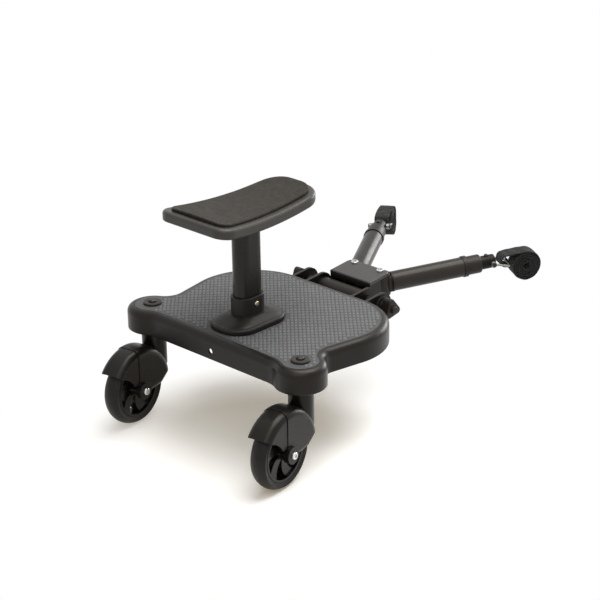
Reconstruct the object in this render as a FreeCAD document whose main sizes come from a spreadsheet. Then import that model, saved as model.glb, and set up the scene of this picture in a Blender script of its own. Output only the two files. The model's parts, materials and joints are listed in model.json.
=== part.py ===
import FreeCAD, Part
import math
import os
import Sketcher

# Ride-on board for a buggy: a moulded deck on two swivel casters, a saddle seat on a post,
# and a hinged hub at the front that carries two telescopic arms with strap loops.
# +X right, +Y forward to the buggy, +Z up, floor at z = 0, millimetres and degrees.

SIZES = {
    # Clearances and the place of the caster stems behind the middle of the board.
    "stem_setback": 220.4,
    "run_gap": 0.05,
    "fit_gap": 0.3,
    "slip_gap": 0.2,
    # Deck: a moulded tray turned upside down, lengths measured from the line of the stems.
    "deck_top": 172.5,
    "deck_height": 36.0,
    "deck_wall": 3.2,
    "deck_rear": 28.0,
    "deck_front": 228.0,
    "deck_half": 171.5,
    "ear_inset": 18.5,
    "ear_radius": 38.0,
    "ear_blend": 40.0,
    "waist_radius": 22.0,
    "corner_radius": 98.0,
    "side_lean": 11.0,
    "rim_round": 10.0,
    "foot_round": 1.4,
    "rib_pitch": 52.0,
    "rib_thick": 2.4,
    "rib_lift": 3.0,
    "boss_radius": 16.0,
    "rear_hole": 4.2,
    "rear_hole_drop": 22.5,
    # Grip mat laid in a shallow recess.
    "mat_inset": 11.0,
    "mat_recess": 2.0,
    "mat_thick": 2.2,
    "mat_gap": 0.4,
    "mat_border": 1.5,
    # Caster stem bearings and the washers on the deck.
    "bush_radius": 9.0,
    "bush_flange": 13.0,
    "bush_flange_thick": 1.6,
    "stem_bolt_radius": 5.0,
    "stem_head_radius": 8.0,
    "stem_head_thick": 6.0,
    "stem_nut_radius": 5.6,
    "stem_nut_thick": 4.2,
    "cap_radius": 13.5,
    "cap_thick": 3.4,
    "cap_recess": 6.4,
    "cap_recess_depth": 1.6,
    # Hinge lugs, axle and knobs at the front of the deck.
    "axle_ahead": 256.5,
    "axle_drop": 19.5,
    "axle_radius": 4.0,
    "axle_half": 101.0,
    "lug_radius": 20.5,
    "lug_thick": 5.0,
    "lug_inner": 44.5,
    "lug_outer": 73.5,
    "lug_root": 6.0,
    "lug_drop": 1.5,
    "spacer_radius": 8.5,
    "hinge_washer_radius": 16.0,
    "hinge_washer_thick": 2.2,
    "knob_neck_radius": 10.5,
    "knob_neck": 6.0,
    "knob_reach": 11.5,
    "knob_lobe": 5.8,
    "knob_thick": 14.0,
    "knob_round": 2.2,
    "knob_boss_radius": 6.0,
    "knob_boss": 5.0,
    "knob_turn": 100.0,
    # Hub that pitches on the axle.
    "hub_pitch": 5.3,
    "hub_half": 41.5,
    "hub_rear": 15.5,
    "hub_front": 63.5,
    "hub_rise": 22.0,
    "cover_thick": 5.0,
    "hub_floor": 5.0,
    "hub_wall": 3.0,
    "hub_solid": 40.0,
    "hub_stub": 8.0,
    "hub_stub_front": 60.0,
    "barrel_radius": 14.0,
    "hub_corner": 10.0,
    "hub_round": 2.2,
    "dent_half": 10.0,
    "dent_pitch": 26.0,
    "dent_low": 4.0,
    "dent_high": 11.0,
    "dent_depth": 9.0,
    "hub_bush_radius": 6.5,
    "hub_bush_flange": 11.0,
    "hub_bush_length": 14.0,
    # Pivots of the arms.
    "pivot_ahead": 56.0,
    "pivot_side": 26.3,
    "pivot_radius": 4.0,
    "pivot_head_radius": 5.5,
    "pivot_head": 2.6,
    "pivot_socket": 2.6,
    "pivot_socket_depth": 1.8,
    "pivot_nut_radius": 6.5,
    "pivot_nut": 4.0,
    # Arms, distances along the arm from the pivot.
    "arm_yaw": 29.6,
    "root_radius": 14.8,
    "root_groove": 1.6,
    "root_groove_depth": 2.4,
    "root_groove_half": 11.0,
    "root_groove_lean": 30.0,
    "root_groove_spread": 18.0,
    "tongue_half": 10.5,
    "tongue_rise": 12.5,
    "flange_start": 16.6,
    "tube_start": 19.0,
    "tube_end": 138.0,
    "tube_radius": 15.5,
    "tube_wall": 2.0,
    "spigot_end": 52.0,
    "root_pin_radius": 2.5,
    "root_pin_along": 36.0,
    "collar_start": 135.0,
    "collar_step": 141.5,
    "collar_end": 165.0,
    "collar_radius": 16.8,
    "sleeve_radius": 14.8,
    "collar_round": 3.0,
    "inner_start": 64.0,
    "inner_beyond": 3.0,
    "inner_radius": 10.75,
    "inner_wall": 1.6,
    "plug_behind": 23.0,
    "plug_nose": 3.0,
    "plug_round": 2.4,
    "plug_slot": 4.7,
    "lock_behind": 7.5,
    "lock_radius": 3.0,
    "lock_proud": 2.6,
    "lock_flange": 4.2,
    "lock_flange_thick": 1.6,
    "leaf_thick": 0.8,
    "leaf_half": 3.0,
    "lock_leaf_depth": 22.0,
    # Bails and the rolled straps.
    "bail_along": 183.0,
    "bail_droop": 16.3,
    "bail_pin_radius": 2.0,
    "bail_pin_head": 3.4,
    "bail_pin_head_thick": 1.4,
    "bail_half": 14.6,
    "bail_wire": 1.8,
    "bail_length": 28.6,
    "bail_bend": 3.6,
    "bail_eye": 4.6,
    "bail_eye_half": 2.2,
    "strap_width": 24.5,
    "strap_thick": 2.2,
    "strap_pitch": 3.0,
    "strap_core": 6.9,
    "strap_ahead": 58.4,
    "strap_wrap_gap": 0.5,
    "strap_loop": 6.5,
    "strap_loop_ahead": 20.0,
    "strap_loop_rise": 7.5,
    "strap_tail": 4.0,
    # Casters, turned alike on their stems.
    "caster_turn": 8.4,
    "wheel_radius": 55.0,
    "wheel_trail": 53.4,
    "tyre_half": 13.0,
    "tyre_shoulder": 50.2,
    "tyre_foot": 10.4,
    "rim_radius": 43.0,
    "rim_band": 3.4,
    "rim_half": 11.0,
    "rim_lip": 2.0,
    "hub_radius": 11.0,
    "hub_length": 30.0,
    "spoke_half": 8.0,
    "spoke_width": 50.0,
    "spoke_sweep": 40.0,
    "spoke_bow": 28.0,
    "wheel_bush_radius": 6.0,
    "wheel_bush_length": 9.0,
    "wheel_bush_flange": 8.0,
    "wheel_bush_flange_thick": 0.7,
    "fork_gap": 16.0,
    "fork_half": 21.0,
    "hood_radius": 66.0,
    "hood_wall": 3.6,
    "seam_back": 7.0,
    "stem_radius": 18.5,
    "stem_low": 72.0,
    "stem_round": 5.0,
    "stem_seat": 101.0,
    "chin_height": 62.0,
    "chin_round": 9.0,
    "jaw_back": 8.0,
    "jaw_height": 47.0,
    "jaw_round": 14.0,
    "boss_bolt_radius": 13.0,
    "boss_proud": 4.0,
    "fork_round": 11.0,
    "hood_inside": 6.0,
    "fender_half": 20.0,
    "fender_radius": 65.2,
    "fender_angle": 143.0,
    "fender_lip": 9.0,
    "fender_low": 67.0,
    "fender_round": 11.0,
    "fender_tail": 10.0,
    "fender_bow": 44.0,
    "axle_bolt_radius": 3.0,
    "axle_head_radius": 5.6,
    "axle_head": 3.8,
    "axle_dome": 2.2,
    "axle_socket": 2.4,
    "axle_socket_depth": 2.0,
    "axle_nut_radius": 5.4,
    "axle_nut": 4.4,
    "axle_tip": 1.2,
    # Seat socket on the deck.
    "seat_ahead": 49.2,
    "flange_half": 39.0,
    "flange_length": 57.0,
    "flange_corner": 34.0,
    "flange_edge": 10.5,
    "flange_roll": 4.0,
    "flange_rise": 8.0,
    "flange_swell": 3.0,
    "flange_inset": 4.2,
    "flange_neck": 4.0,
    "flange_round": 1.4,
    "collar_wall": 3.8,
    "socket_height": 46.0,
    "socket_floor": 4.0,
    "socket_screw_side": 19.0,
    "socket_screw_ahead": 43.0,
    "socket_screw_radius": 2.0,
    "socket_screw_reach": 5.0,
    "screw_head_radius": 4.2,
    "screw_head": 2.6,
    # Seat post, snap button, pan and pad.
    "post_radius": 15.0,
    "post_straight": 16.0,
    "post_wall": 2.6,
    "post_foot": 2.0,
    "button_rise": 33.0,
    "button_radius": 4.0,
    "button_proud": 1.6,
    "button_flange": 5.4,
    "button_flange_thick": 1.8,
    "seat_leaf_depth": 27.0,
    "pan_rise": 163.5,
    "pan_thick": 15.5,
    "pan_rear": 109.0,
    "pan_front": 112.0,
    "pan_rear_half": 68.0,
    "pan_front_half": 55.0,
    "pan_rear_corner": 22.0,
    "pan_front_corner": 40.0,
    "pan_round": 3.0,
    "pan_lip": 5.0,
    "saddle_radius": 690.0,
    "saddle_sweep": 24.0,
    "pad_thick": 3.8,
    "pad_crown": 1.6,
    "pad_rear": 99.0,
    "pad_front": 106.0,
    "pad_rear_half": 57.5,
    "pad_front_half": 44.0,
    "pad_rear_corner": 15.0,
    "pad_front_corner": 32.0,
    "pad_round": 1.4,
    "spigot_height": 26.0,
    "cross_pin_radius": 2.5,
    "cross_pin_drop": 13.0,
}

STRAP_HALF_TURNS = 12
SPOKES = 6
HEX_SIDES = 6
KNOB_LOBES = 3
SIDES = {"left": -1, "right": 1}

doc = FreeCAD.newDocument("BuggyBoard")
sheet = doc.addObject("Spreadsheet::Sheet", "Sizes")
for row, (alias, number) in enumerate(SIZES.items(), start=1):
    sheet.set("A%d" % row, alias)
    sheet.set("B%d" % row, repr(number))
    sheet.setAlias("B%d" % row, alias)
doc.recompute()


class Size:
    """A number that remembers the sheet formula it came from."""

    def __init__(self, value, text):
        self.value = value
        self.text = text

    def __add__(self, other):
        other = as_size(other)
        return Size(self.value + other.value, "(%s + %s)" % (self.text, other.text))

    def __sub__(self, other):
        other = as_size(other)
        return Size(self.value - other.value, "(%s - %s)" % (self.text, other.text))

    def __mul__(self, other):
        other = as_size(other)
        return Size(self.value * other.value, "(%s * %s)" % (self.text, other.text))

    def __truediv__(self, other):
        other = as_size(other)
        return Size(self.value / other.value, "(%s / %s)" % (self.text, other.text))

    def __neg__(self):
        return self * -1

    def __rsub__(self, other):
        return as_size(other) - self

    __radd__ = __add__
    __rmul__ = __mul__


def as_size(item):
    return item if isinstance(item, Size) else Size(float(item), repr(float(item)))


def root(size):
    return Size(math.sqrt(size.value), "sqrt(%s)" % size.text)


def cosine(angle):
    return Size(math.cos(math.radians(angle.value)), "cos(%s * 1 deg)" % angle.text)


def sine(angle):
    return Size(math.sin(math.radians(angle.value)), "sin(%s * 1 deg)" % angle.text)


class Sheet:
    """Gives each cell of the sheet by its alias."""

    def __getattr__(self, alias):
        return Size(float(sheet.get(alias)), "Sizes.%s" % alias)


s = Sheet()
ZERO = as_size(0)
HALF_TURN = as_size(180)
VECTOR = FreeCAD.Vector
ALONG_X = VECTOR(1, 0, 0)
ALONG_Y = VECTOR(0, 1, 0)
ALONG_Z = VECTOR(0, 0, 1)
TINY_SHARE = 1e-4
nodes = []


def as_vector(pair):
    return VECTOR(as_size(pair[0]).value, as_size(pair[1]).value, 0)


def new_body(label):
    body = doc.addObject("PartDesign::Body", label)
    body.Label = label
    return body


def keep(node, frame):
    """Lists a finished piece as a node and puts it in its place."""
    node.Placement = frame
    nodes.append(node)
    return node


def group(label, members, frame):
    node = doc.addObject("Part::Compound", label)
    node.Label = label
    node.Links = members
    doc.recompute()
    return keep(node, frame)


def sketch_on(body, role, away=ZERO, up=ZERO):
    sketch = body.newObject("Sketcher::SketchObject", "Sketch")
    plane = [item for item in body.Origin.OriginFeatures if item.Role == role][0]
    sketch.AttachmentSupport = [(plane, "")]
    sketch.MapMode = "FlatFace"
    sketch.AttachmentOffset = FreeCAD.Placement(VECTOR(0, up.value, away.value), FreeCAD.Rotation())
    sketch.setExpression("AttachmentOffset.Base.y", up.text)
    sketch.setExpression("AttachmentOffset.Base.z", away.text)
    return sketch


def bind(sketch, index, size):
    sketch.setExpression("Constraints[%d]" % index, size.text)


def pin_along(sketch, kind, geometry, position, item):
    size = as_size(item)
    limit = Sketcher.Constraint(kind, -1, 1, geometry, position, size.value)
    bind(sketch, sketch.addConstraint(limit), size)


def pin_point(sketch, geometry, position, pair):
    for kind, item in zip(("DistanceX", "DistanceY"), pair):
        pin_along(sketch, kind, geometry, position, item)


def set_radius(sketch, geometry, radius):
    bind(sketch, sketch.addConstraint(Sketcher.Constraint("Radius", geometry, radius.value)), radius)


def draw_circle(sketch, centre, radius):
    geometry = sketch.addGeometry(Part.Circle(as_vector(centre), ALONG_Z, radius.value))
    pin_point(sketch, geometry, 3, centre)
    set_radius(sketch, geometry, radius)


def draw_path(sketch, corners, arcs=None, closed=True):
    """One loop of lines; arcs gives the centre, radius and turning sense of a curved side."""
    arcs = arcs or {}
    ends = []
    sides = len(corners) if closed else len(corners) - 1
    for number in range(sides):
        begin = as_vector(corners[number])
        finish = as_vector(corners[(number + 1) % len(corners)])
        if number not in arcs:
            ends.append((sketch.addGeometry(Part.LineSegment(begin, finish)), 1, 2))
            continue
        centre, radius, turn = arcs[number]
        heart = as_vector(centre)
        first, last = (begin, finish) if turn > 0 else (finish, begin)
        angles = [math.atan2(spot.y - heart.y, spot.x - heart.x) for spot in (first, last)]
        circle = Part.Circle(heart, ALONG_Z, radius.value)
        key = sketch.addGeometry(Part.ArcOfCircle(circle, angles[0], angles[1]))
        chord = finish - begin
        if abs(chord.y) > abs(chord.x):
            pin_along(sketch, "DistanceX", key, 3, centre[0])
        else:
            pin_along(sketch, "DistanceY", key, 3, centre[1])
        ends.append((key, 1, 2) if turn > 0 else (key, 2, 1))
    for number, (key, start, stop) in enumerate(ends):
        if closed or number + 1 < sides:
            onward = ends[(number + 1) % sides]
            sketch.addConstraint(Sketcher.Constraint("Coincident", key, stop, onward[0], onward[1]))
        pin_point(sketch, key, start, corners[number])
    if not closed:
        pin_point(sketch, ends[-1][0], ends[-1][2], corners[-1])


def set_length(feature, name, size):
    setattr(feature, name, size.value)
    feature.setExpression(name, size.text)


def add_pad(body, sketch, length, flip=False):
    pad = body.newObject("PartDesign::Pad", "Pad")
    pad.Profile = sketch
    pad.Reversed = flip
    set_length(pad, "Length", length)
    doc.recompute()
    return pad


def cut(body, sketch, depth, flip=False):
    before = body.Shape.Volume
    pocket = body.newObject("PartDesign::Pocket", "Pocket")
    pocket.Profile = sketch
    pocket.Reversed = flip
    set_length(pocket, "Length", depth)
    doc.recompute()
    if not body.Shape.Volume < before * (1 - TINY_SHARE * TINY_SHARE):
        raise RuntimeError("a pocket of %s cuts nothing" % body.Label)
    return pocket


def revolve(body, sketch, axis, sweep=None):
    feature = body.newObject("PartDesign::Revolution", "Revolution")
    feature.Profile = sketch
    feature.ReferenceAxis = (sketch, [axis])
    if sweep:
        feature.Midplane = True
        set_length(feature, "Angle", sweep)
    doc.recompute()
    return feature


def round_edges(body, wanted, radius, kind="PartDesign::Fillet"):
    base = body.Tip
    names = ["Edge%d" % number for number, edge in enumerate(base.Shape.Edges, start=1) if wanted(edge)]
    if not names:
        raise RuntimeError("no edge of %s to round" % body.Label)
    feature = body.newObject(kind, "Round")
    feature.Base = (base, names)
    set_length(feature, "Radius" if kind.endswith("Fillet") else "Size", radius)
    doc.recompute()
    return feature


def at_level(axis, size):
    """Picks the edges that lie flat at one level along an axis."""
    low, high = axis + "Min", axis + "Max"
    slack = abs(s.fit_gap.value) / 10

    def wanted(edge):
        box = edge.BoundBox
        return abs(getattr(box, low) - size.value) < slack and abs(getattr(box, high) - size.value) < slack
    return wanted


def turned(label, role, corners, axis, arcs=None):
    """A piece turned from one profile."""
    body = new_body(label)
    sketch = sketch_on(body, role)
    draw_path(sketch, corners, arcs)
    revolve(body, sketch, axis)
    return body


def rounded_box(half_x, half_y, corner, centre):
    """Corners and arcs of a rectangle with four equal round corners."""
    across, along = centre
    corners = []
    arcs = {}
    turns = ((1, -1), (1, 1), (-1, 1), (-1, -1))
    for number, (right, front) in enumerate(turns):
        heart = (across + (half_x - corner) * right, along + (half_y - corner) * front)
        edge = [(heart[0], heart[1] + corner * front), (heart[0] + corner * right, heart[1])]
        corners += edge if right * front < 0 else edge[::-1]
        arcs[2 * number] = (heart, corner, 1)
    return corners, arcs


def oval(radius, straight, centre):
    """Corners and arcs of a slot shape with its straight sides along Y."""
    across, along = centre
    rear = along - straight / 2
    front = along + straight / 2
    corners = [(across - radius, rear), (across + radius, rear),
               (across + radius, front), (across - radius, front)]
    return corners, {0: ((across, rear), radius, 1), 2: ((across, front), radius, 1)}


def deck_outline(inset):
    """Outline of the deck, drawn in by the inset all round."""
    ear_x = stem_side
    ear = s.ear_radius - inset
    blend = s.ear_blend + inset
    waist = s.waist_radius + inset
    corner = s.corner_radius - inset
    corner_x = s.deck_half - s.corner_radius
    corner_y = s.deck_front - s.corner_radius
    rear = inset - s.deck_rear
    front = s.deck_front - inset
    lean_cos = cosine(s.side_lean)
    lean_sin = sine(s.side_lean)
    reach = ear + blend
    blend_y = rear - blend
    blend_x = ear_x - root(reach * reach - blend_y * blend_y)
    hold = ear + waist
    lean = corner + waist - (ear_x - corner_x) * lean_cos - corner_y * lean_sin
    along = root(hold * hold - lean * lean)
    waist_x = ear_x + lean * lean_cos + along * lean_sin
    waist_y = along * lean_cos - lean * lean_sin
    right = [
        (blend_x, rear),
        (ear_x + (blend_x - ear_x) * ear / reach, blend_y * ear / reach),
        (ear_x + (waist_x - ear_x) * ear / hold, waist_y * ear / hold),
        (waist_x - waist * lean_cos, waist_y + waist * lean_sin),
        (corner_x + corner * lean_cos, corner_y - corner * lean_sin),
        (corner_x, front),
    ]
    bends = {0: ((blend_x, blend_y), blend, -1), 1: ((ear_x, ZERO), ear, 1),
             2: ((waist_x, waist_y), waist, -1), 4: ((corner_x, corner_y), corner, 1)}
    corners = right + [(-across, ahead) for across, ahead in reversed(right)]
    arcs = dict(bends)
    for number, (centre, radius, turn) in bends.items():
        arcs[2 * len(right) - 2 - number] = ((-centre[0], centre[1]), radius, turn)
    return corners, arcs


def seat_outline(rear, front, rear_half, front_half, rear_corner, front_corner):
    """Outline of the seat about the post: wide at the rear, narrow and rounder at the front."""
    rear_x = rear_half - rear_corner
    rear_y = rear_corner - rear
    front_x = front_half - front_corner
    front_y = front - front_corner
    run_x = front_x - rear_x
    run_y = front_y - rear_y
    run = root(run_x * run_x + run_y * run_y)
    dip = (rear_corner - front_corner) / run
    flat = root(1 - dip * dip)
    out_x = (dip * run_x + flat * run_y) / run
    out_y = (dip * run_y - flat * run_x) / run
    right = [
        (rear_x, -rear),
        (rear_x + rear_corner * out_x, rear_y + rear_corner * out_y),
        (front_x + front_corner * out_x, front_y + front_corner * out_y),
        (front_x, front),
    ]
    corners = right + [(-across, ahead) for across, ahead in reversed(right)]
    arcs = {0: ((rear_x, rear_y), rear_corner, 1), 2: ((front_x, front_y), front_corner, 1),
            4: ((-front_x, front_y), front_corner, 1), 6: ((-rear_x, rear_y), rear_corner, 1)}
    return corners, arcs


def hexagon(radius):
    corners = []
    for number in range(HEX_SIDES):
        angle = as_size(360 / HEX_SIDES * number)
        corners.append((radius * cosine(angle), radius * sine(angle)))
    return corners


def moved(frame, across, along, height, axis=ALONG_Z, angle=0):
    """A frame shifted by sizes and turned about one of its own axes."""
    shift = VECTOR(as_size(across).value, as_size(along).value, as_size(height).value)
    return frame * FreeCAD.Placement(shift, FreeCAD.Rotation(axis, as_size(angle).value))


FLOOR = FreeCAD.Placement()
stem_side = s.deck_half - s.ear_inset
axle_height = s.deck_top - s.axle_drop
STEMS = moved(FLOOR, ZERO, -s.stem_setback, ZERO)
HUB = moved(STEMS, ZERO, s.axle_ahead, axle_height, ALONG_X, s.hub_pitch)
SEAT = moved(STEMS, ZERO, s.seat_ahead, s.deck_top)
deck_foot = s.deck_top - s.deck_height
mat_floor = s.deck_top - s.mat_recess
plate_foot = mat_floor - s.deck_wall
wheel_back = -s.wheel_trail
saddle_axis = s.pan_rise + s.pan_thick + s.saddle_radius
seat_centre = (ZERO, s.seat_ahead)


def socket_screw_spots(ahead):
    return [(s.socket_screw_side * right, ahead + s.socket_screw_ahead * front)
            for right in SIDES.values() for front in SIDES.values()]


def add_lugs(body):
    """Four hinge plates that grow out of the front wall of the deck."""
    inside = s.deck_front - s.lug_root
    corners = [
        (inside, deck_foot + s.rib_lift),
        (s.axle_ahead, axle_height - s.lug_radius),
        (s.axle_ahead, axle_height + s.lug_radius),
        (inside, s.deck_top - s.lug_drop),
    ]
    arcs = {1: ((s.axle_ahead, axle_height), s.lug_radius, 1)}
    for face in (s.lug_inner, s.lug_outer, -s.lug_inner - s.lug_thick, -s.lug_outer - s.lug_thick):
        sketch = sketch_on(body, "YZ_Plane", face)
        draw_path(sketch, corners, arcs)
        add_pad(body, sketch, s.lug_thick)
    span = s.lug_outer + s.lug_thick
    sketch = sketch_on(body, "YZ_Plane", span)
    draw_circle(sketch, (s.axle_ahead, axle_height), s.axle_radius + s.run_gap)
    cut(body, sketch, span * 2)


def add_ribs(body):
    """A grid of ribs below the standing plate."""
    height = plate_foot - deck_foot - s.rib_lift + s.deck_wall / 2
    corner_x = s.deck_half - s.corner_radius
    corner_y = s.deck_front - s.corner_radius
    sketch = sketch_on(body, "XY_Plane", deck_foot + s.rib_lift)
    for number in (-5, -3, -1, 1, 3, 5):
        middle = s.rib_pitch * number / 2
        front = s.deck_front
        if abs(middle.value) > corner_x.value:
            beyond = s.rib_pitch * abs(number) / 2 - corner_x
            front = corner_y + root(s.corner_radius * s.corner_radius - beyond * beyond)
        half = s.rib_thick / 2
        rear_y = s.deck_wall / 2 - s.deck_rear
        front_y = front - s.deck_wall
        draw_path(sketch, [(middle - half, rear_y), (middle + half, rear_y),
                           (middle + half, front_y), (middle - half, front_y)])
    add_pad(body, sketch, height)
    sketch = sketch_on(body, "XY_Plane", deck_foot + s.rib_lift)
    for number in (1, 3, 5, 7):
        middle = s.rib_pitch * number / 2
        half = s.rib_thick / 2
        draw_path(sketch, [(-stem_side, middle - half), (stem_side, middle - half),
                           (stem_side, middle + half), (-stem_side, middle + half)])
    add_pad(body, sketch, height)


def make_deck_shell():
    body = new_body("deck_shell")
    sketch = sketch_on(body, "XY_Plane", deck_foot)
    draw_path(sketch, *deck_outline(ZERO))
    add_pad(body, sketch, s.deck_height)
    round_edges(body, at_level("Z", s.deck_top), s.rim_round)
    round_edges(body, at_level("Z", deck_foot), s.foot_round)
    sketch = sketch_on(body, "XY_Plane", deck_foot)
    draw_path(sketch, *deck_outline(s.deck_wall))
    cut(body, sketch, plate_foot - deck_foot, True)
    add_ribs(body)
    sketch = sketch_on(body, "XY_Plane", deck_foot)
    for side in SIDES.values():
        draw_circle(sketch, (stem_side * side, ZERO), s.boss_radius)
    add_pad(body, sketch, plate_foot - deck_foot + s.deck_wall / 2)
    add_lugs(body)
    sketch = sketch_on(body, "XY_Plane", s.deck_top)
    draw_path(sketch, *deck_outline(s.mat_inset))
    cut(body, sketch, s.mat_recess)
    sketch = sketch_on(body, "XY_Plane", s.deck_top)
    for side in SIDES.values():
        draw_circle(sketch, (stem_side * side, ZERO), s.bush_radius + s.run_gap)
    for spot in socket_screw_spots(s.seat_ahead):
        draw_circle(sketch, spot, s.socket_screw_radius + s.run_gap)
    cut(body, sketch, s.deck_height)
    sketch = sketch_on(body, "XZ_Plane", s.deck_rear)
    draw_circle(sketch, (ZERO, s.deck_top - s.rear_hole_drop), s.rear_hole)
    cut(body, sketch, s.deck_wall + s.rear_hole * 2)
    keep(body, STEMS)


def make_grip_mat():
    body = new_body("grip_mat")
    sketch = sketch_on(body, "XY_Plane", mat_floor)
    draw_path(sketch, *deck_outline(s.mat_inset + s.mat_gap))
    draw_path(sketch, *rounded_box(s.flange_half + s.mat_border, s.flange_length + s.mat_border,
                                   s.flange_corner + s.mat_border, seat_centre))
    for side in SIDES.values():
        draw_circle(sketch, (stem_side * side, ZERO), s.cap_radius + s.mat_gap)
    add_pad(body, sketch, s.mat_thick)
    keep(body, STEMS)


def make_stem_bearings():
    """Bushes pressed up into the deck bosses, and the washers around their tops."""
    bushes = []
    washers = []
    bore = s.stem_bolt_radius + s.run_gap
    top = mat_floor + s.mat_thick
    for name, side in SIDES.items():
        low = deck_foot - s.bush_flange_thick
        bush = turned("caster_bush_" + name, "XZ_Plane", [
            (bore, low), (s.bush_flange, low), (s.bush_flange, deck_foot), (s.bush_radius, deck_foot),
            (s.bush_radius, top), (bore, top)], "V_Axis")
        bush.Placement = moved(FLOOR, stem_side * side, ZERO, ZERO)
        bushes.append(bush)
        high = top + s.cap_thick
        shelf = high - s.cap_recess_depth
        snug = s.bush_radius + s.run_gap
        washer = turned("cap_washer_" + name, "XZ_Plane", [
            (snug, mat_floor), (s.cap_radius, mat_floor), (s.cap_radius, high - s.cap_recess_depth / 2),
            (s.cap_radius - s.cap_recess_depth / 2, high), (s.cap_recess, high),
            (s.cap_recess, shelf), (bore, shelf), (bore, top), (snug, top)], "V_Axis")
        washer.Placement = moved(FLOOR, stem_side * side, ZERO, ZERO)
        washers.append(washer)
    group("caster_bushes", bushes, STEMS)
    group("cap_washers", washers, STEMS)


def make_hinge():
    """Axle through the lugs with its spacers, washers and knobs."""
    face = s.lug_outer + s.lug_thick
    axle = new_body("hinge_axle")
    sketch = sketch_on(axle, "YZ_Plane", -s.axle_half)
    draw_circle(sketch, (ZERO, ZERO), s.axle_radius)
    add_pad(axle, sketch, s.axle_half * 2)
    axis = moved(STEMS, ZERO, s.axle_ahead, axle_height)
    keep(axle, axis)
    spacers = []
    washers = []
    bore = s.axle_radius + s.run_gap
    for name, side in SIDES.items():
        near = s.lug_inner + s.lug_thick + s.fit_gap
        far = s.lug_outer - s.fit_gap
        spacers.append(turned("hinge_spacer_" + name, "XY_Plane", [
            (near * side, bore), (near * side, s.spacer_radius),
            (far * side, s.spacer_radius), (far * side, bore)], "H_Axis"))
        outer = face + s.hinge_washer_thick
        washers.append(turned("hinge_washer_" + name, "XY_Plane", [
            (face * side, bore), (face * side, s.hinge_washer_radius),
            (outer * side, s.hinge_washer_radius), (outer * side, bore)], "H_Axis"))
    group("hinge_spacers", spacers, axis)
    group("hinge_washers", washers, axis)
    for name, side in SIDES.items():
        make_knob("hinge_knob_" + name, side, axis, face + s.hinge_washer_thick + s.fit_gap)


def make_knob(label, side, axis, start):
    body = new_body(label)
    flip = side < 0
    sketch = sketch_on(body, "YZ_Plane", start * side)
    draw_circle(sketch, (ZERO, ZERO), s.knob_neck_radius)
    add_pad(body, sketch, s.knob_neck, flip)
    head = start + s.knob_neck
    corners = []
    arcs = {}
    for number in range(KNOB_LOBES):
        angle = s.knob_turn + 360 / KNOB_LOBES * number
        heart = (s.knob_reach * cosine(angle), s.knob_reach * sine(angle))
        arcs[2 * number] = (heart, s.knob_lobe, 1)
        for lean in (-180 / KNOB_LOBES, 180 / KNOB_LOBES):
            corners.append((heart[0] + s.knob_lobe * cosine(angle + lean),
                            heart[1] + s.knob_lobe * sine(angle + lean)))
    sketch = sketch_on(body, "YZ_Plane", head * side)
    draw_path(sketch, corners, arcs)
    add_pad(body, sketch, s.knob_thick, flip)
    face = head + s.knob_thick
    round_edges(body, at_level("X", face * side), s.knob_round)
    sketch = sketch_on(body, "YZ_Plane", (face - s.knob_round) * side)
    draw_circle(sketch, (ZERO, ZERO), s.knob_boss_radius)
    add_pad(body, sketch, s.knob_boss + s.knob_round, flip)
    round_edges(body, at_level("X", (face + s.knob_boss) * side), s.knob_round)
    sketch = sketch_on(body, "YZ_Plane", start * side)
    draw_circle(sketch, (ZERO, ZERO), s.axle_radius + s.run_gap)
    cut(body, sketch, s.axle_half - start + s.fit_gap, not flip)
    keep(body, axis)


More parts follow.
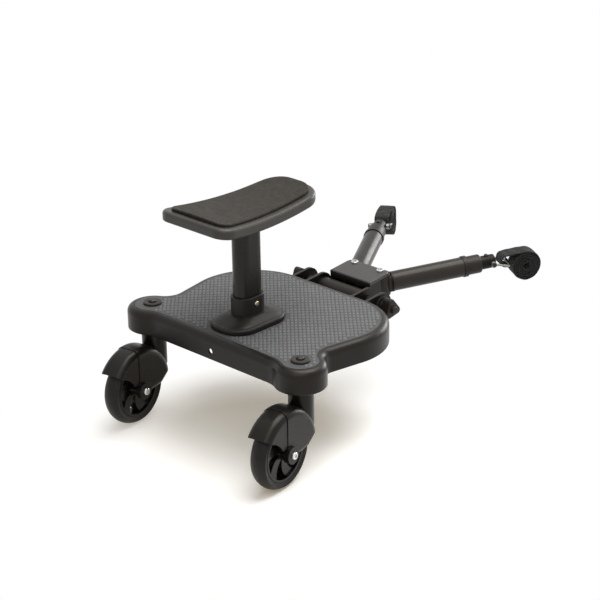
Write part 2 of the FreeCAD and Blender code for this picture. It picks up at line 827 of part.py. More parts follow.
def make_hub():
    """Housing, cover, bushes and pivot bolts of the hub, drawn about the hinge axle."""
    body = new_body("hub_housing")
    lid = s.hub_rise - s.cover_thick
    sketch = sketch_on(body, "XY_Plane", -s.hub_rise)
    rear, front, corner = s.hub_rear, s.hub_front, s.hub_corner
    bend_x = s.hub_half - corner
    bend_y = front - corner
    outline = [(-s.hub_half, rear), (s.hub_half, rear), (s.hub_half, bend_y), (bend_x, front),
               (-bend_x, front), (-s.hub_half, bend_y)]
    bends = {2: ((bend_x, bend_y), corner, 1), 4: ((-bend_x, bend_y), corner, 1)}
    draw_path(sketch, outline, bends)
    add_pad(body, sketch, s.hub_rise + lid)
    round_edges(body, at_level("Z", -s.hub_rise), s.hub_round)
    sketch = sketch_on(body, "XY_Plane", lid)
    wide = s.hub_half * 2
    inside = s.hub_stub
    draw_path(sketch, [(inside, s.hub_solid), (wide, s.hub_solid), (wide, wide), (-wide, wide),
                       (-wide, s.hub_solid), (-inside, s.hub_solid),
                       (-inside, s.hub_stub_front), (inside, s.hub_stub_front)])
    cut(body, sketch, lid + s.hub_rise - s.hub_floor)
    sketch = sketch_on(body, "XZ_Plane", -s.hub_rear)
    for number in (-1, 0, 1):
        middle = s.dent_pitch * number
        draw_path(sketch, [(middle - s.dent_half, -s.dent_low), (middle + s.dent_half, -s.dent_low),
                           (middle + s.dent_half, s.dent_high), (middle - s.dent_half, s.dent_high)])
    cut(body, sketch, s.dent_depth)
    sketch = sketch_on(body, "YZ_Plane", -s.hub_half)
    draw_circle(sketch, (ZERO, ZERO), s.barrel_radius)
    add_pad(body, sketch, wide)
    sketch = sketch_on(body, "YZ_Plane", -s.hub_half)
    under = s.hub_rear + s.hub_wall
    draw_path(sketch, [(ZERO, -s.barrel_radius), (under, -s.hub_rise + s.hub_round),
                       (under, -s.dent_low), (ZERO, ZERO)])
    add_pad(body, sketch, wide)
    sketch = sketch_on(body, "YZ_Plane", s.hub_half)
    draw_circle(sketch, (ZERO, ZERO), s.hub_bush_radius + s.run_gap)
    cut(body, sketch, wide)
    pivots = [(s.pivot_side * side, s.pivot_ahead) for side in SIDES.values()]
    sketch = sketch_on(body, "XY_Plane", -s.hub_rise)
    for spot in pivots:
        draw_circle(sketch, spot, s.pivot_radius + s.run_gap)
    cut(body, sketch, s.hub_floor * 2, True)
    keep(body, HUB)

    body = new_body("hub_cover")
    sketch = sketch_on(body, "XY_Plane", lid)
    draw_path(sketch, outline, bends)
    add_pad(body, sketch, s.cover_thick)
    round_edges(body, at_level("Z", s.hub_rise), s.hub_round)
    sketch = sketch_on(body, "XY_Plane", s.hub_rise)
    for spot in pivots:
        draw_circle(sketch, spot, s.pivot_radius + s.run_gap)
    cut(body, sketch, s.cover_thick * 2)
    keep(body, HUB)

    bushes = []
    bolts = []
    nuts = []
    bore = s.axle_radius + s.run_gap
    for name, side in SIDES.items():
        tip = s.lug_inner - s.fit_gap
        deep = s.hub_half - s.hub_bush_length
        bushes.append(turned("hub_bush_" + name, "XY_Plane", [
            (deep * side, bore), (deep * side, s.hub_bush_radius),
            (s.hub_half * side, s.hub_bush_radius), (s.hub_half * side, s.hub_bush_flange),
            (tip * side, s.hub_bush_flange), (tip * side, bore)], "H_Axis"))
        top = s.hub_rise + s.pivot_head
        low = -s.hub_rise - s.pivot_nut
        well = top - s.pivot_socket_depth
        bolt = turned("pivot_bolt_" + name, "XZ_Plane", [
            (ZERO, low), (s.pivot_radius, low), (s.pivot_radius, s.hub_rise),
            (s.pivot_head_radius, s.hub_rise), (s.pivot_head_radius, top - s.fit_gap * 2),
            (s.pivot_head_radius - s.fit_gap * 2, top), (s.pivot_socket, top),
            (s.pivot_socket, well), (ZERO, well)], "V_Axis")
        bolt.Placement = moved(FLOOR, s.pivot_side * side, s.pivot_ahead, ZERO)
        bolts.append(bolt)
        nut = new_body("pivot_nut_" + name)
        sketch = sketch_on(nut, "XY_Plane", low)
        draw_path(sketch, hexagon(s.pivot_nut_radius))
        draw_circle(sketch, (ZERO, ZERO), s.pivot_radius + s.run_gap)
        add_pad(nut, sketch, s.pivot_nut)
        nut.Placement = moved(FLOOR, s.pivot_side * side, s.pivot_ahead, ZERO)
        nuts.append(nut)
    group("hub_bushes", bushes, HUB)
    group("pivot_bolts", bolts, HUB)
    group("pivot_nuts", nuts, HUB)


def make_arm_root(label, side, frame):
    body = new_body(label)
    half = s.hub_rise - s.cover_thick - s.fit_gap
    sketch = sketch_on(body, "XY_Plane", -half)
    draw_circle(sketch, (ZERO, ZERO), s.root_radius)
    add_pad(body, sketch, half * 2)
    sketch = sketch_on(body, "XY_Plane", -s.tongue_rise)
    draw_path(sketch, [(-s.tongue_half, ZERO), (s.tongue_half, ZERO),
                       (s.tongue_half, s.tube_start), (-s.tongue_half, s.tube_start)])
    add_pad(body, sketch, s.tongue_rise * 2)
    sketch = sketch_on(body, "XZ_Plane", -s.flange_start)
    draw_circle(sketch, (ZERO, ZERO), s.tube_radius)
    add_pad(body, sketch, s.tube_start - s.flange_start, True)
    sketch = sketch_on(body, "XZ_Plane", -s.flange_start)
    draw_circle(sketch, (ZERO, ZERO), s.tube_radius - s.tube_wall - s.run_gap)
    add_pad(body, sketch, s.spigot_end - s.flange_start, True)
    sketch = sketch_on(body, "XY_Plane", half)
    draw_circle(sketch, (ZERO, ZERO), s.pivot_radius + s.run_gap)
    draw_circle(sketch, (ZERO, s.root_pin_along), s.root_pin_radius + s.run_gap)
    cut(body, sketch, half * 2)
    sketch = sketch_on(body, "XY_Plane", s.root_groove_half)
    for turn in (-1, 1):
        angle = (s.root_groove_lean + s.arm_yaw) * side + s.root_groove_spread * turn
        angle = angle + (HALF_TURN if side < 0 else ZERO)
        depth = s.root_radius - s.root_groove_depth
        far = s.root_radius + s.root_groove_depth
        lean = (cosine(angle), sine(angle))
        half_x = -s.root_groove / 2 * lean[1]
        half_y = s.root_groove / 2 * lean[0]
        draw_path(sketch, [
            (depth * lean[0] - half_x, depth * lean[1] - half_y),
            (far * lean[0] - half_x, far * lean[1] - half_y),
            (far * lean[0] + half_x, far * lean[1] + half_y),
            (depth * lean[0] + half_x, depth * lean[1] + half_y)])
    cut(body, sketch, s.root_groove_half * 2)
    keep(body, frame)


def make_arm(name, side):
    """One arm: root, outer tube, collar and the sliding inner tube with its fittings."""
    frame = moved(HUB, s.pivot_side * side, s.pivot_ahead, ZERO, ALONG_Z, s.arm_yaw * -side)
    make_arm_root("arm_root_" + name, side, frame)
    bore = s.tube_radius - s.tube_wall
    body = turned("arm_tube_" + name, "XY_Plane", [
        (bore, s.tube_start), (s.tube_radius, s.tube_start),
        (s.tube_radius, s.tube_end), (bore, s.tube_end)], "V_Axis")
    sketch = sketch_on(body, "XY_Plane", s.tube_radius)
    draw_circle(sketch, (ZERO, s.root_pin_along), s.root_pin_radius + s.run_gap)
    cut(body, sketch, s.tube_radius * 2)
    keep(body, frame)
    pin = new_body("root_pin_" + name)
    sketch = sketch_on(pin, "XY_Plane", -s.tube_radius)
    draw_circle(sketch, (ZERO, ZERO), s.root_pin_radius)
    add_pad(pin, sketch, s.tube_radius * 2)
    keep(pin, moved(frame, ZERO, s.root_pin_along, ZERO))
    inner_end = s.bail_along + s.inner_beyond
    lock_along = s.bail_along - s.lock_behind
    slide = s.inner_radius + s.run_gap
    nose = s.collar_end - s.collar_round
    keep(turned("arm_collar_" + name, "XY_Plane", [
        (s.tube_radius + s.run_gap, s.collar_start), (s.collar_radius, s.collar_start),
        (s.collar_radius, s.collar_step), (s.sleeve_radius, s.collar_step),
        (s.sleeve_radius, nose), (s.sleeve_radius - s.collar_round, s.collar_end),
        (slide, s.collar_end), (slide, s.tube_end + s.run_gap),
        (s.tube_radius + s.run_gap, s.tube_end + s.run_gap)], "V_Axis",
        {4: ((s.sleeve_radius - s.collar_round, nose), s.collar_round, 1)}), frame)
    hollow = s.inner_radius - s.inner_wall
    body = turned("inner_tube_" + name, "XY_Plane", [
        (hollow, s.inner_start), (s.inner_radius, s.inner_start),
        (s.inner_radius, inner_end), (hollow, inner_end)], "V_Axis")
    sketch = sketch_on(body, "XY_Plane", s.inner_radius)
    draw_circle(sketch, (ZERO, lock_along), s.lock_radius + s.run_gap)
    cut(body, sketch, s.inner_radius)
    sketch = sketch_on(body, "YZ_Plane", s.inner_radius)
    draw_circle(sketch, (s.bail_along, ZERO), s.bail_pin_radius + s.run_gap)
    cut(body, sketch, s.inner_radius * 2)
    keep(body, frame)
    plug_start = s.bail_along - s.plug_behind
    plug_end = inner_end + s.plug_nose
    tip = plug_end - s.plug_round
    snug = hollow - s.run_gap
    body = turned("tube_plug_" + name, "XY_Plane", [
        (ZERO, plug_start), (snug, plug_start), (snug, inner_end),
        (s.inner_radius, inner_end), (s.inner_radius, tip),
        (s.inner_radius - s.plug_round, plug_end), (ZERO, plug_end)], "V_Axis",
        {4: ((s.inner_radius - s.plug_round, tip), s.plug_round, 1)})
    sketch = sketch_on(body, "XY_Plane", s.inner_radius)
    end = lock_along + s.plug_slot
    draw_path(sketch, [(-s.plug_slot, plug_start - s.fit_gap), (s.plug_slot, plug_start - s.fit_gap),
                       (s.plug_slot, end), (-s.plug_slot, end)])
    cut(body, sketch, s.inner_radius * 2)
    sketch = sketch_on(body, "YZ_Plane", s.inner_radius)
    draw_circle(sketch, (s.bail_along, ZERO), s.bail_pin_radius + s.run_gap)
    cut(body, sketch, s.inner_radius * 2)
    keep(body, frame)
    make_lock(name, moved(frame, ZERO, lock_along, ZERO), hollow)
    make_bail(name, moved(frame, ZERO, s.bail_along, ZERO, ALONG_X, -s.bail_droop),
              moved(frame, ZERO, s.bail_along, ZERO))


def make_leaf(label, role, near, far, depth, half, frame):
    """A bent strip spring: two legs that spread from one fold."""
    body = new_body(label)
    sketch = sketch_on(body, role, -half)
    middle = (near + far) / 2
    fold = s.leaf_thick * 4
    draw_path(sketch, [(near, ZERO), (middle, -depth), (far, ZERO), (far - s.leaf_thick, ZERO),
                       (middle, fold - depth), (near + s.leaf_thick, ZERO)])
    add_pad(body, sketch, half * 2)
    keep(body, frame)


def make_lock(name, frame, hollow):
    """Sprung button in the top of the inner tube."""
    top = s.inner_radius + s.lock_proud
    shelf = root(hollow * hollow - s.lock_flange * s.lock_flange) - s.fit_gap
    low = shelf - s.lock_flange_thick
    dome = s.lock_proud / 2
    keep(turned("lock_button_" + name, "XZ_Plane", [
        (ZERO, low), (s.lock_flange, low), (s.lock_flange, shelf), (s.lock_radius, shelf),
        (s.lock_radius, top - dome), (s.lock_radius - dome, top), (ZERO, top)], "V_Axis",
        {4: ((s.lock_radius - dome, top - dome), dome, 1)}), frame)
    make_leaf("lock_spring_" + name, "XY_Plane", -low + s.fit_gap, hollow - s.leaf_thick,
              s.lock_leaf_depth, s.leaf_half, moved(frame, ZERO, ZERO, ZERO, ALONG_Y, 90))


def strap_sides(shift):
    """Edges along the strap, shifted sideways from its middle line."""
    half_pitch = s.strap_pitch.value / 2
    ahead = s.strap_ahead.value
    edges = []
    spots = []
    top = s.strap_core.value
    radius = s.strap_core.value
    edge = -s.strap_width.value / 2
    loop = s.strap_loop.value
    wrap = s.bail_wire.value + s.strap_wrap_gap.value + s.strap_thick.value / 2
    high = VECTOR(s.strap_loop_ahead.value, s.strap_loop_rise.value, edge)
    low = VECTOR(s.strap_loop_ahead.value, loop - wrap, edge)
    bar = VECTOR(s.bail_length.value, 0, edge)

    def spot(heart, size, angle):
        turn = math.radians(angle)
        return heart + VECTOR(math.cos(turn), math.sin(turn), 0) * size

    def arc(heart, size, first, last):
        wide = size + shift
        ends = [spot(heart, wide, angle) for angle in (first, (first + last) / 2, last)]
        edges.append(Part.Arc(*ends).toShape())
        steps = max(2, int(size * math.radians(last - first)))
        spots.extend(spot(heart, size, first + (last - first) * step / steps) for step in range(steps))

    def line(begin, finish, out):
        edges.append(Part.makeLine(begin + out * shift, finish + out * shift))
        steps = max(2, int((finish - begin).Length))
        spots.extend(begin + (finish - begin) * (step / steps) for step in range(steps))

    for number in range(STRAP_HALF_TURNS):
        upward = number % 2
        centre = VECTOR(ahead, top + radius if upward else top - radius, edge)
        last = number + 1 == STRAP_HALF_TURNS
        if last:
            gap = centre - high
            lean = math.degrees(math.atan2(gap.y, gap.x))
            leave = lean + math.degrees(math.acos((loop - radius) / gap.Length))
            arc(centre, radius, -90, leave)
            break
        arc(centre, radius, -90 if upward else 90, 90 if upward else 270)
        top = centre.y + radius if upward else centre.y - radius
        radius += half_pitch
    out = spot(VECTOR(0, 0, 0), 1, leave)
    line(spot(centre, radius, leave), spot(high, loop, leave), out)
    arc(high, loop, leave, 180)
    line(spot(high, loop, 180), spot(low, loop, 180), VECTOR(-1, 0, 0))
    arc(low, loop, 180, 270)
    line(spot(low, loop, 270), spot(bar, wrap, 270), VECTOR(0, -1, 0))
    arc(bar, wrap, 270, 420)
    out = spot(VECTOR(0, 0, 0), 1, 420)
    along = VECTOR(-out.y, out.x, 0)
    end = spot(bar, wrap, 420)
    line(end, end + along * s.strap_tail.value, out)
    return edges, spots


def least_gap(spots, thick):
    """Least clear space between turns of the strap, measured on points along its middle line."""
    apart = 0
    run = [0]
    for before, after in zip(spots, spots[1:]):
        apart += (after - before).Length
        run.append(apart)
    far = s.strap_core.value * 2
    best = apart
    for number, spot in enumerate(spots):
        for other in range(number + 1, len(spots)):
            if run[other] - run[number] > far:
                best = min(best, (spots[other] - spot).Length)
    return best - thick, apart


def make_strap(label, frame):
    thick = s.strap_thick.value
    outer, spots = strap_sides(thick / 2)
    inner = strap_sides(-thick / 2)[0]
    starts = [edges[0].valueAt(edges[0].FirstParameter) for edges in (outer, inner)]
    stops = [edges[-1].valueAt(edges[-1].LastParameter) for edges in (outer, inner)]
    loop = outer + [Part.makeLine(stops[0], stops[1])] + inner + [Part.makeLine(starts[0], starts[1])]
    face = Part.Face(Part.Wire(Part.__sortEdges__(loop)))
    strap = doc.addObject("Part::Feature", label)
    strap.Label = label
    strap.Shape = face.extrude(VECTOR(0, 0, s.strap_width.value))
    upright = FreeCAD.Rotation(VECTOR(0, 1, 0), VECTOR(0, 0, 1), VECTOR(1, 0, 0), "ZXY")
    keep(strap, frame * FreeCAD.Placement(VECTOR(0, 0, 0), upright))
    gap, length = least_gap(spots, thick)
    print("%s: least gap to itself %.2f mm, length %.0f mm" % (label, gap, length))


def make_bail(name, frame, level):
    """Wire loop on a pin across the end of the inner tube, with the strap rolled up on it."""
    body = new_body("bail_" + name)
    path = sketch_on(body, "XY_Plane")
    straight = s.bail_length - s.bail_bend
    inside = s.bail_half - s.bail_bend
    start = s.bail_eye - s.bail_wire
    draw_path(path, [(-s.bail_half, start), (-s.bail_half, straight), (-inside, s.bail_length),
                     (inside, s.bail_length), (s.bail_half, straight), (s.bail_half, start)],
              {1: ((-inside, straight), s.bail_bend, -1), 3: ((inside, straight), s.bail_bend, -1)},
              False)
    wire = sketch_on(body, "XZ_Plane", -start)
    draw_circle(wire, (-s.bail_half, ZERO), s.bail_wire)
    pipe = body.newObject("PartDesign::AdditivePipe", "Pipe")
    pipe.Profile = wire
    pipe.Spine = (path, ["Edge%d" % number for number in range(1, 6)])
    doc.recompute()
    for side in SIDES.values():
        sketch = sketch_on(body, "YZ_Plane", s.bail_half * side - s.bail_eye_half)
        draw_circle(sketch, (ZERO, ZERO), s.bail_eye)
        add_pad(body, sketch, s.bail_eye_half * 2)
    reach = s.bail_half + s.bail_eye_half
    sketch = sketch_on(body, "YZ_Plane", reach)
    draw_circle(sketch, (ZERO, ZERO), s.bail_pin_radius + s.run_gap)
    cut(body, sketch, reach * 2)
    keep(body, frame)
    edge = reach + s.fit_gap
    end = edge + s.bail_pin_head_thick
    keep(turned("bail_pin_" + name, "XY_Plane", [
        (-end, ZERO), (-end, s.bail_pin_head), (-edge, s.bail_pin_head), (-edge, s.bail_pin_radius),
        (edge, s.bail_pin_radius), (edge, s.bail_pin_head), (end, s.bail_pin_head), (end, ZERO)],
        "H_Axis"), level)
    make_strap("strap_" + name, frame)


def make_fork(label, frame):
    body = new_body(label)
    seam = wheel_back - s.seam_back
    half = s.fork_half
    axle = (wheel_back, s.wheel_radius)
    boss = s.boss_bolt_radius
    chin = (wheel_back + beside(s.hood_radius, s.chin_height - s.wheel_radius), s.chin_height)
    jaw = (-s.jaw_back, s.jaw_height)
    sketch = sketch_on(body, "YZ_Plane", -half)
    draw_path(sketch, [
        (seam, s.wheel_radius + beside(s.hood_radius, s.seam_back)), chin, jaw,
        (wheel_back, s.wheel_radius - boss), (seam, s.wheel_radius - beside(boss, s.seam_back))],
        {0: (axle, s.hood_radius, -1), 3: (axle, boss, -1)})
    add_pad(body, sketch, half * 2)

    def across_at(spot):
        slack = s.fit_gap.value

        def wanted(edge):
            box = edge.BoundBox
            ahead = abs(box.YMin - spot[0].value) < slack and abs(box.YMax - spot[0].value) < slack
            return ahead and abs(box.ZMin - spot[1].value) < slack and box.XLength > slack
        return wanted

    round_edges(body, across_at(chin), s.chin_round)
    round_edges(body, across_at(jaw), s.jaw_round)

    def outside(edge):
        box = edge.BoundBox
        slack = s.fit_gap.value / 10
        flat = box.XLength < slack and abs(abs(box.XMin) - half.value) < slack
        return flat and not (box.YLength < slack and abs(box.YMin - seam.value) < slack)

    round_edges(body, outside, s.fork_round)
    stem_top = deck_foot - s.bush_flange_thick - s.fit_gap
    bend = (s.stem_radius - s.stem_round, s.stem_low + s.stem_round)
    sketch = sketch_on(body, "XZ_Plane")
    draw_path(sketch, [(ZERO, s.stem_low), (bend[0], s.stem_low), (s.stem_radius, bend[1]),
                       (s.stem_radius, stem_top), (ZERO, stem_top)], {1: (bend, s.stem_round, 1)})
    revolve(body, sketch, "V_Axis")
    sketch = sketch_on(body, "YZ_Plane", s.fork_gap)
    hollow = s.hood_radius - s.hood_wall
    draw_circle(sketch, axle, hollow)
    cut(body, sketch, s.fork_gap * 2)

    def inside(edge):
        box = edge.BoundBox
        slack = s.fit_gap.value / 10
        flat = box.XLength < slack and abs(abs(box.XMin) - s.fork_gap.value) < slack
        return flat and box.ZLength > slack and abs(getattr(edge.Curve, "Radius", 0) - hollow.value) < slack

    round_edges(body, inside, s.hood_inside)
    for side in SIDES.values():
        sketch = sketch_on(body, "YZ_Plane", s.fork_gap * side)
        draw_circle(sketch, axle, boss)
        add_pad(body, sketch, half - s.fork_gap + s.boss_proud, side < 0)
    sketch = sketch_on(body, "YZ_Plane", half + s.boss_proud)
    draw_circle(sketch, axle, s.axle_bolt_radius + s.run_gap)
    cut(body, sketch, (half + s.boss_proud) * 2)
    sketch = sketch_on(body, "XY_Plane", stem_top)
    draw_circle(sketch, (ZERO, ZERO), s.stem_bolt_radius + s.run_gap)
    cut(body, sketch, stem_top - s.chin_height)
    sketch = sketch_on(body, "XY_Plane", s.stem_seat)
    draw_circle(sketch, (ZERO, ZERO), s.stem_head_radius + s.fit_gap)
    cut(body, sketch, s.stem_seat - s.chin_height)
    keep(body, frame)


def make_fender(label, frame):
    body = new_body(label)
    edge = wheel_back - s.seam_back - s.fit_gap
    tilt = (cosine(s.fender_angle), sine(s.fender_angle))
    crown = s.fender_radius
    roof = crown - s.hood_wall
    low = s.fender_low - s.wheel_radius
    outer = s.fender_half - s.fender_round
    inner = s.fork_gap - s.hood_inside
    sketch = sketch_on(body, "XY_Plane", s.wheel_radius, wheel_back)
    draw_path(sketch, [
        (s.fork_gap, low), (s.fender_half, low), (s.fender_half, crown - s.fender_round),
        (outer, crown), (-outer, crown), (-s.fender_half, crown - s.fender_round),
        (-s.fender_half, low), (-s.fork_gap, low), (-s.fork_gap, roof - s.hood_inside),
        (-inner, roof), (inner, roof), (s.fork_gap, roof - s.hood_inside)],
        {2: ((outer, crown - s.fender_round), s.fender_round, 1),
         4: ((-outer, crown - s.fender_round), s.fender_round, 1),
         8: ((-inner, roof - s.hood_inside), s.hood_inside, -1),
         10: ((inner, roof - s.hood_inside), s.hood_inside, -1)})
    revolve(body, sketch, "H_Axis")
    far = crown * 2
    reach = crown - s.fender_lip
    lip = (wheel_back + reach * tilt[0], s.wheel_radius + reach * tilt[1])
    tail = (edge - s.fender_tail, s.fender_low)
    sketch = sketch_on(body, "YZ_Plane", s.fender_half)
    draw_path(sketch, [(wheel_back - far, s.wheel_radius - far), (wheel_back + far, s.wheel_radius - far),
                       (wheel_back + far, s.wheel_radius + far), (wheel_back - far, s.wheel_radius + far)])
    draw_path(sketch, [(edge, s.fender_low), (edge, s.wheel_radius + far * tilt[1]),
                       (wheel_back + far * tilt[0], s.wheel_radius + far * tilt[1]), lip, tail],
              {3: (bow_centre(tail, lip, s.fender_bow), s.fender_bow, -1)})
    cut(body, sketch, s.fender_half * 2)
    keep(body, frame)


def make_caster_bolts(name, frame):
    """Stem bolt with its nut on the deck, and axle bolt with its nut on the fork."""
    top = mat_floor + s.mat_thick + s.cap_thick - s.cap_recess_depth + s.fit_gap
    high = top + s.stem_nut_thick
    low = s.stem_seat - s.stem_head_thick
    bolt = turned("stem_screw_" + name, "XZ_Plane", [
        (ZERO, low), (s.stem_head_radius, low), (s.stem_head_radius, s.stem_seat),
        (s.stem_bolt_radius, s.stem_seat), (s.stem_bolt_radius, top), (ZERO, top)], "V_Axis")
    dome = s.stem_nut_thick / 2
    nut = turned("stem_nut_" + name, "XZ_Plane", [
        (ZERO, top), (s.stem_nut_radius, top), (s.stem_nut_radius, high - dome),
        (s.stem_nut_radius - dome, high), (ZERO, high)], "V_Axis",
        {2: ((s.stem_nut_radius - dome, high - dome), dome, 1)})
    group("stem_bolt_" + name, [bolt, nut], frame)
    face = s.fork_half + s.boss_proud
    end = face + s.axle_head
    tip = -face - s.axle_nut - s.axle_tip
    screw = turned("axle_screw_" + name, "XY_Plane", [
        (tip, ZERO), (tip, s.axle_bolt_radius), (face, s.axle_bolt_radius), (face, s.axle_head_radius),
        (end - s.axle_dome, s.axle_head_radius), (end, s.axle_head_radius - s.axle_dome), (end, ZERO)],
        "H_Axis",
        {4: ((end - s.axle_dome, s.axle_head_radius - s.axle_dome), s.axle_dome, -1)})
    sketch = sketch_on(screw, "YZ_Plane", end)
    draw_path(sketch, hexagon(s.axle_socket))
    cut(screw, sketch, s.axle_socket_depth)
    clip = new_body("axle_nut_" + name)
    sketch = sketch_on(clip, "YZ_Plane", -face)
    draw_path(sketch, hexagon(s.axle_nut_radius))
    draw_circle(sketch, (ZERO, ZERO), s.axle_bolt_radius + s.run_gap)
    add_pad(clip, sketch, s.axle_nut, True)
    group("axle_bolt_" + name, [screw, clip], moved(frame, ZERO, wheel_back, s.wheel_radius))


def make_wheel(name, frame):
    body = new_body("wheel_rim_" + name)
    half = s.hub_length / 2
    inner = s.rim_radius - s.rim_band
    sketch = sketch_on(body, "XY_Plane")
    draw_path(sketch, [
        (-s.rim_half, inner), (s.rim_half, inner), (s.rim_half, s.rim_radius), (-s.rim_half, s.rim_radius)])
    revolve(body, sketch, "H_Axis")
    sketch = sketch_on(body, "YZ_Plane", -s.spoke_half)
    root_radius = s.hub_radius - s.rim_lip
    tip_radius = inner + s.rim_lip
    spread = 360 / SPOKES
    for number in range(SPOKES):
        sides = []
        for lead in (0, 1):
            base = as_size(spread * number) + s.spoke_width * lead
            lean = base + s.spoke_sweep - s.spoke_width * lead / 2
            sides.append([(root_radius * cosine(base), root_radius * sine(base)),
                          (tip_radius * cosine(lean), tip_radius * sine(lean))])
        corners = [sides[0][0], sides[0][1], sides[1][1], sides[1][0]]
        draw_path(sketch, corners, {
            0: (bow_centre(sides[0][0], sides[0][1], s.spoke_bow), s.spoke_bow, 1),
            2: (bow_centre(sides[1][0], sides[1][1], s.spoke_bow), s.spoke_bow, -1)})
    add_pad(body, sketch, s.spoke_half * 2)
    sketch = sketch_on(body, "XY_Plane")
    bore = s.wheel_bush_radius
    draw_path(sketch, [(-half, bore), (half, bore), (half, s.hub_radius), (-half, s.hub_radius)])
    revolve(body, sketch, "H_Axis")
    keep(body, frame)

    chord = s.tyre_half
    rise = s.wheel_radius - s.tyre_shoulder
    crown = (chord * chord + rise * rise) / (rise * 2)
    shoulder = s.tyre_shoulder
    keep(turned("tyre_" + name, "XY_Plane", [
        (-s.tyre_foot, s.rim_radius), (s.tyre_foot, s.rim_radius), (s.tyre_half, shoulder),
        (-s.tyre_half, shoulder)], "H_Axis",
        {2: ((ZERO, s.wheel_radius - crown), crown, 1)}), frame)

    bushes = []
    snug = bore - s.run_gap
    hole = s.axle_bolt_radius + s.run_gap
    for place, side in SIDES.items():
        deep = half - s.wheel_bush_length
        out = half + s.wheel_bush_flange_thick
        bushes.append(turned("wheel_bush_%s_%s" % (name, place), "XY_Plane", [
            (deep * side, hole), (deep * side, snug), (half * side, snug),
            (half * side, s.wheel_bush_flange), (out * side, s.wheel_bush_flange), (out * side, hole)],
            "H_Axis"))
    group("wheel_bushes_" + name, bushes, frame)


def beside(radius, away):
    """Half chord of a circle at a distance from its centre."""
    return root(radius * radius - away * away)


def bow_centre(begin, finish, bow):
    """Centre of a bowed side, to the left of the way from begin to finish."""
    run_x = finish[0] - begin[0]
    run_y = finish[1] - begin[1]
    chord = root(run_x * run_x + run_y * run_y)
    away = root(bow * bow - chord * chord / 4)
    return ((begin[0] + finish[0]) / 2 - run_y / chord * away,
            (begin[1] + finish[1]) / 2 + run_x / chord * away)


def make_caster(name, side):
    frame = moved(STEMS, stem_side * side, ZERO, ZERO, ALONG_Z, s.caster_turn)
    make_fork("fork_" + name, frame)
    make_fender("fender_" + name, frame)
    make_caster_bolts(name, frame)
    make_wheel(name, moved(frame, ZERO, wheel_back, s.wheel_radius))


def make_socket():
    """Socket on the deck that holds the seat post, with its screws from below."""
    base = -s.mat_recess
    centre = (ZERO, ZERO)
    body = new_body("seat_socket")
    sketch = sketch_on(body, "XY_Plane", base)
    draw_path(sketch, *rounded_box(s.flange_half, s.flange_length, s.flange_corner, centre))
    add_pad(body, sketch, s.flange_edge)
    round_edges(body, at_level("Z", base + s.flange_edge), s.flange_roll)
    low = sketch_on(body, "XY_Plane", base + s.flange_edge)
    inset = s.flange_inset
    draw_path(low, *rounded_box(s.flange_half - inset, s.flange_length - inset,
                                s.flange_corner - inset, centre))
    grown = s.post_radius + s.collar_wall + s.flange_neck
    waist = sketch_on(body, "XY_Plane", base + s.flange_edge + s.flange_rise / 2)
    full = grown + s.flange_swell + inset
    draw_path(waist, *rounded_box(full, full + s.post_straight / 2 + inset, full - inset * 2, centre))
    high = sketch_on(body, "XY_Plane", base + s.flange_edge + s.flange_rise)
    draw_path(high, *rounded_box(grown, grown + s.post_straight / 2, grown - inset, centre))
    loft = body.newObject("PartDesign::AdditiveLoft", "Loft")
    loft.Profile = low
    loft.Sections = [waist, high]
    doc.recompute()
    sketch = sketch_on(body, "XY_Plane", base)
    draw_path(sketch, *oval(s.post_radius + s.collar_wall, s.post_straight, centre))
    add_pad(body, sketch, s.socket_height)
    round_edges(body, at_level("Z", base + s.socket_height), s.flange_round)
    sketch = sketch_on(body, "XY_Plane", base + s.socket_height)
    draw_path(sketch, *oval(s.post_radius + s.slip_gap, s.post_straight, centre))
    cut(body, sketch, s.socket_height - s.socket_floor)
    sketch = sketch_on(body, "YZ_Plane", ZERO)
    draw_circle(sketch, (ZERO, s.button_rise), s.button_radius + s.run_gap)
    cut(body, sketch, s.flange_half, True)
    sketch = sketch_on(body, "XY_Plane", base)
    for spot in socket_screw_spots(ZERO):
        draw_circle(sketch, spot, s.socket_screw_radius + s.run_gap)
    cut(body, sketch, s.socket_screw_reach + s.fit_gap, True)
    keep(body, SEAT)
    screws = []
    plate = base - s.deck_wall
    low = plate - s.screw_head
    for number, spot in enumerate(socket_screw_spots(ZERO)):
        screw = turned("socket_screw_%d" % number, "XZ_Plane", [
            (ZERO, low), (s.screw_head_radius, low), (s.screw_head_radius, plate),
            (s.socket_screw_radius, plate), (s.socket_screw_radius, base + s.socket_screw_reach),
            (ZERO, base + s.socket_screw_reach)], "V_Axis")
        screw.Placement = moved(FLOOR, spot[0], spot[1], ZERO)
        screws.append(screw)
    group("socket_screws", screws, SEAT)


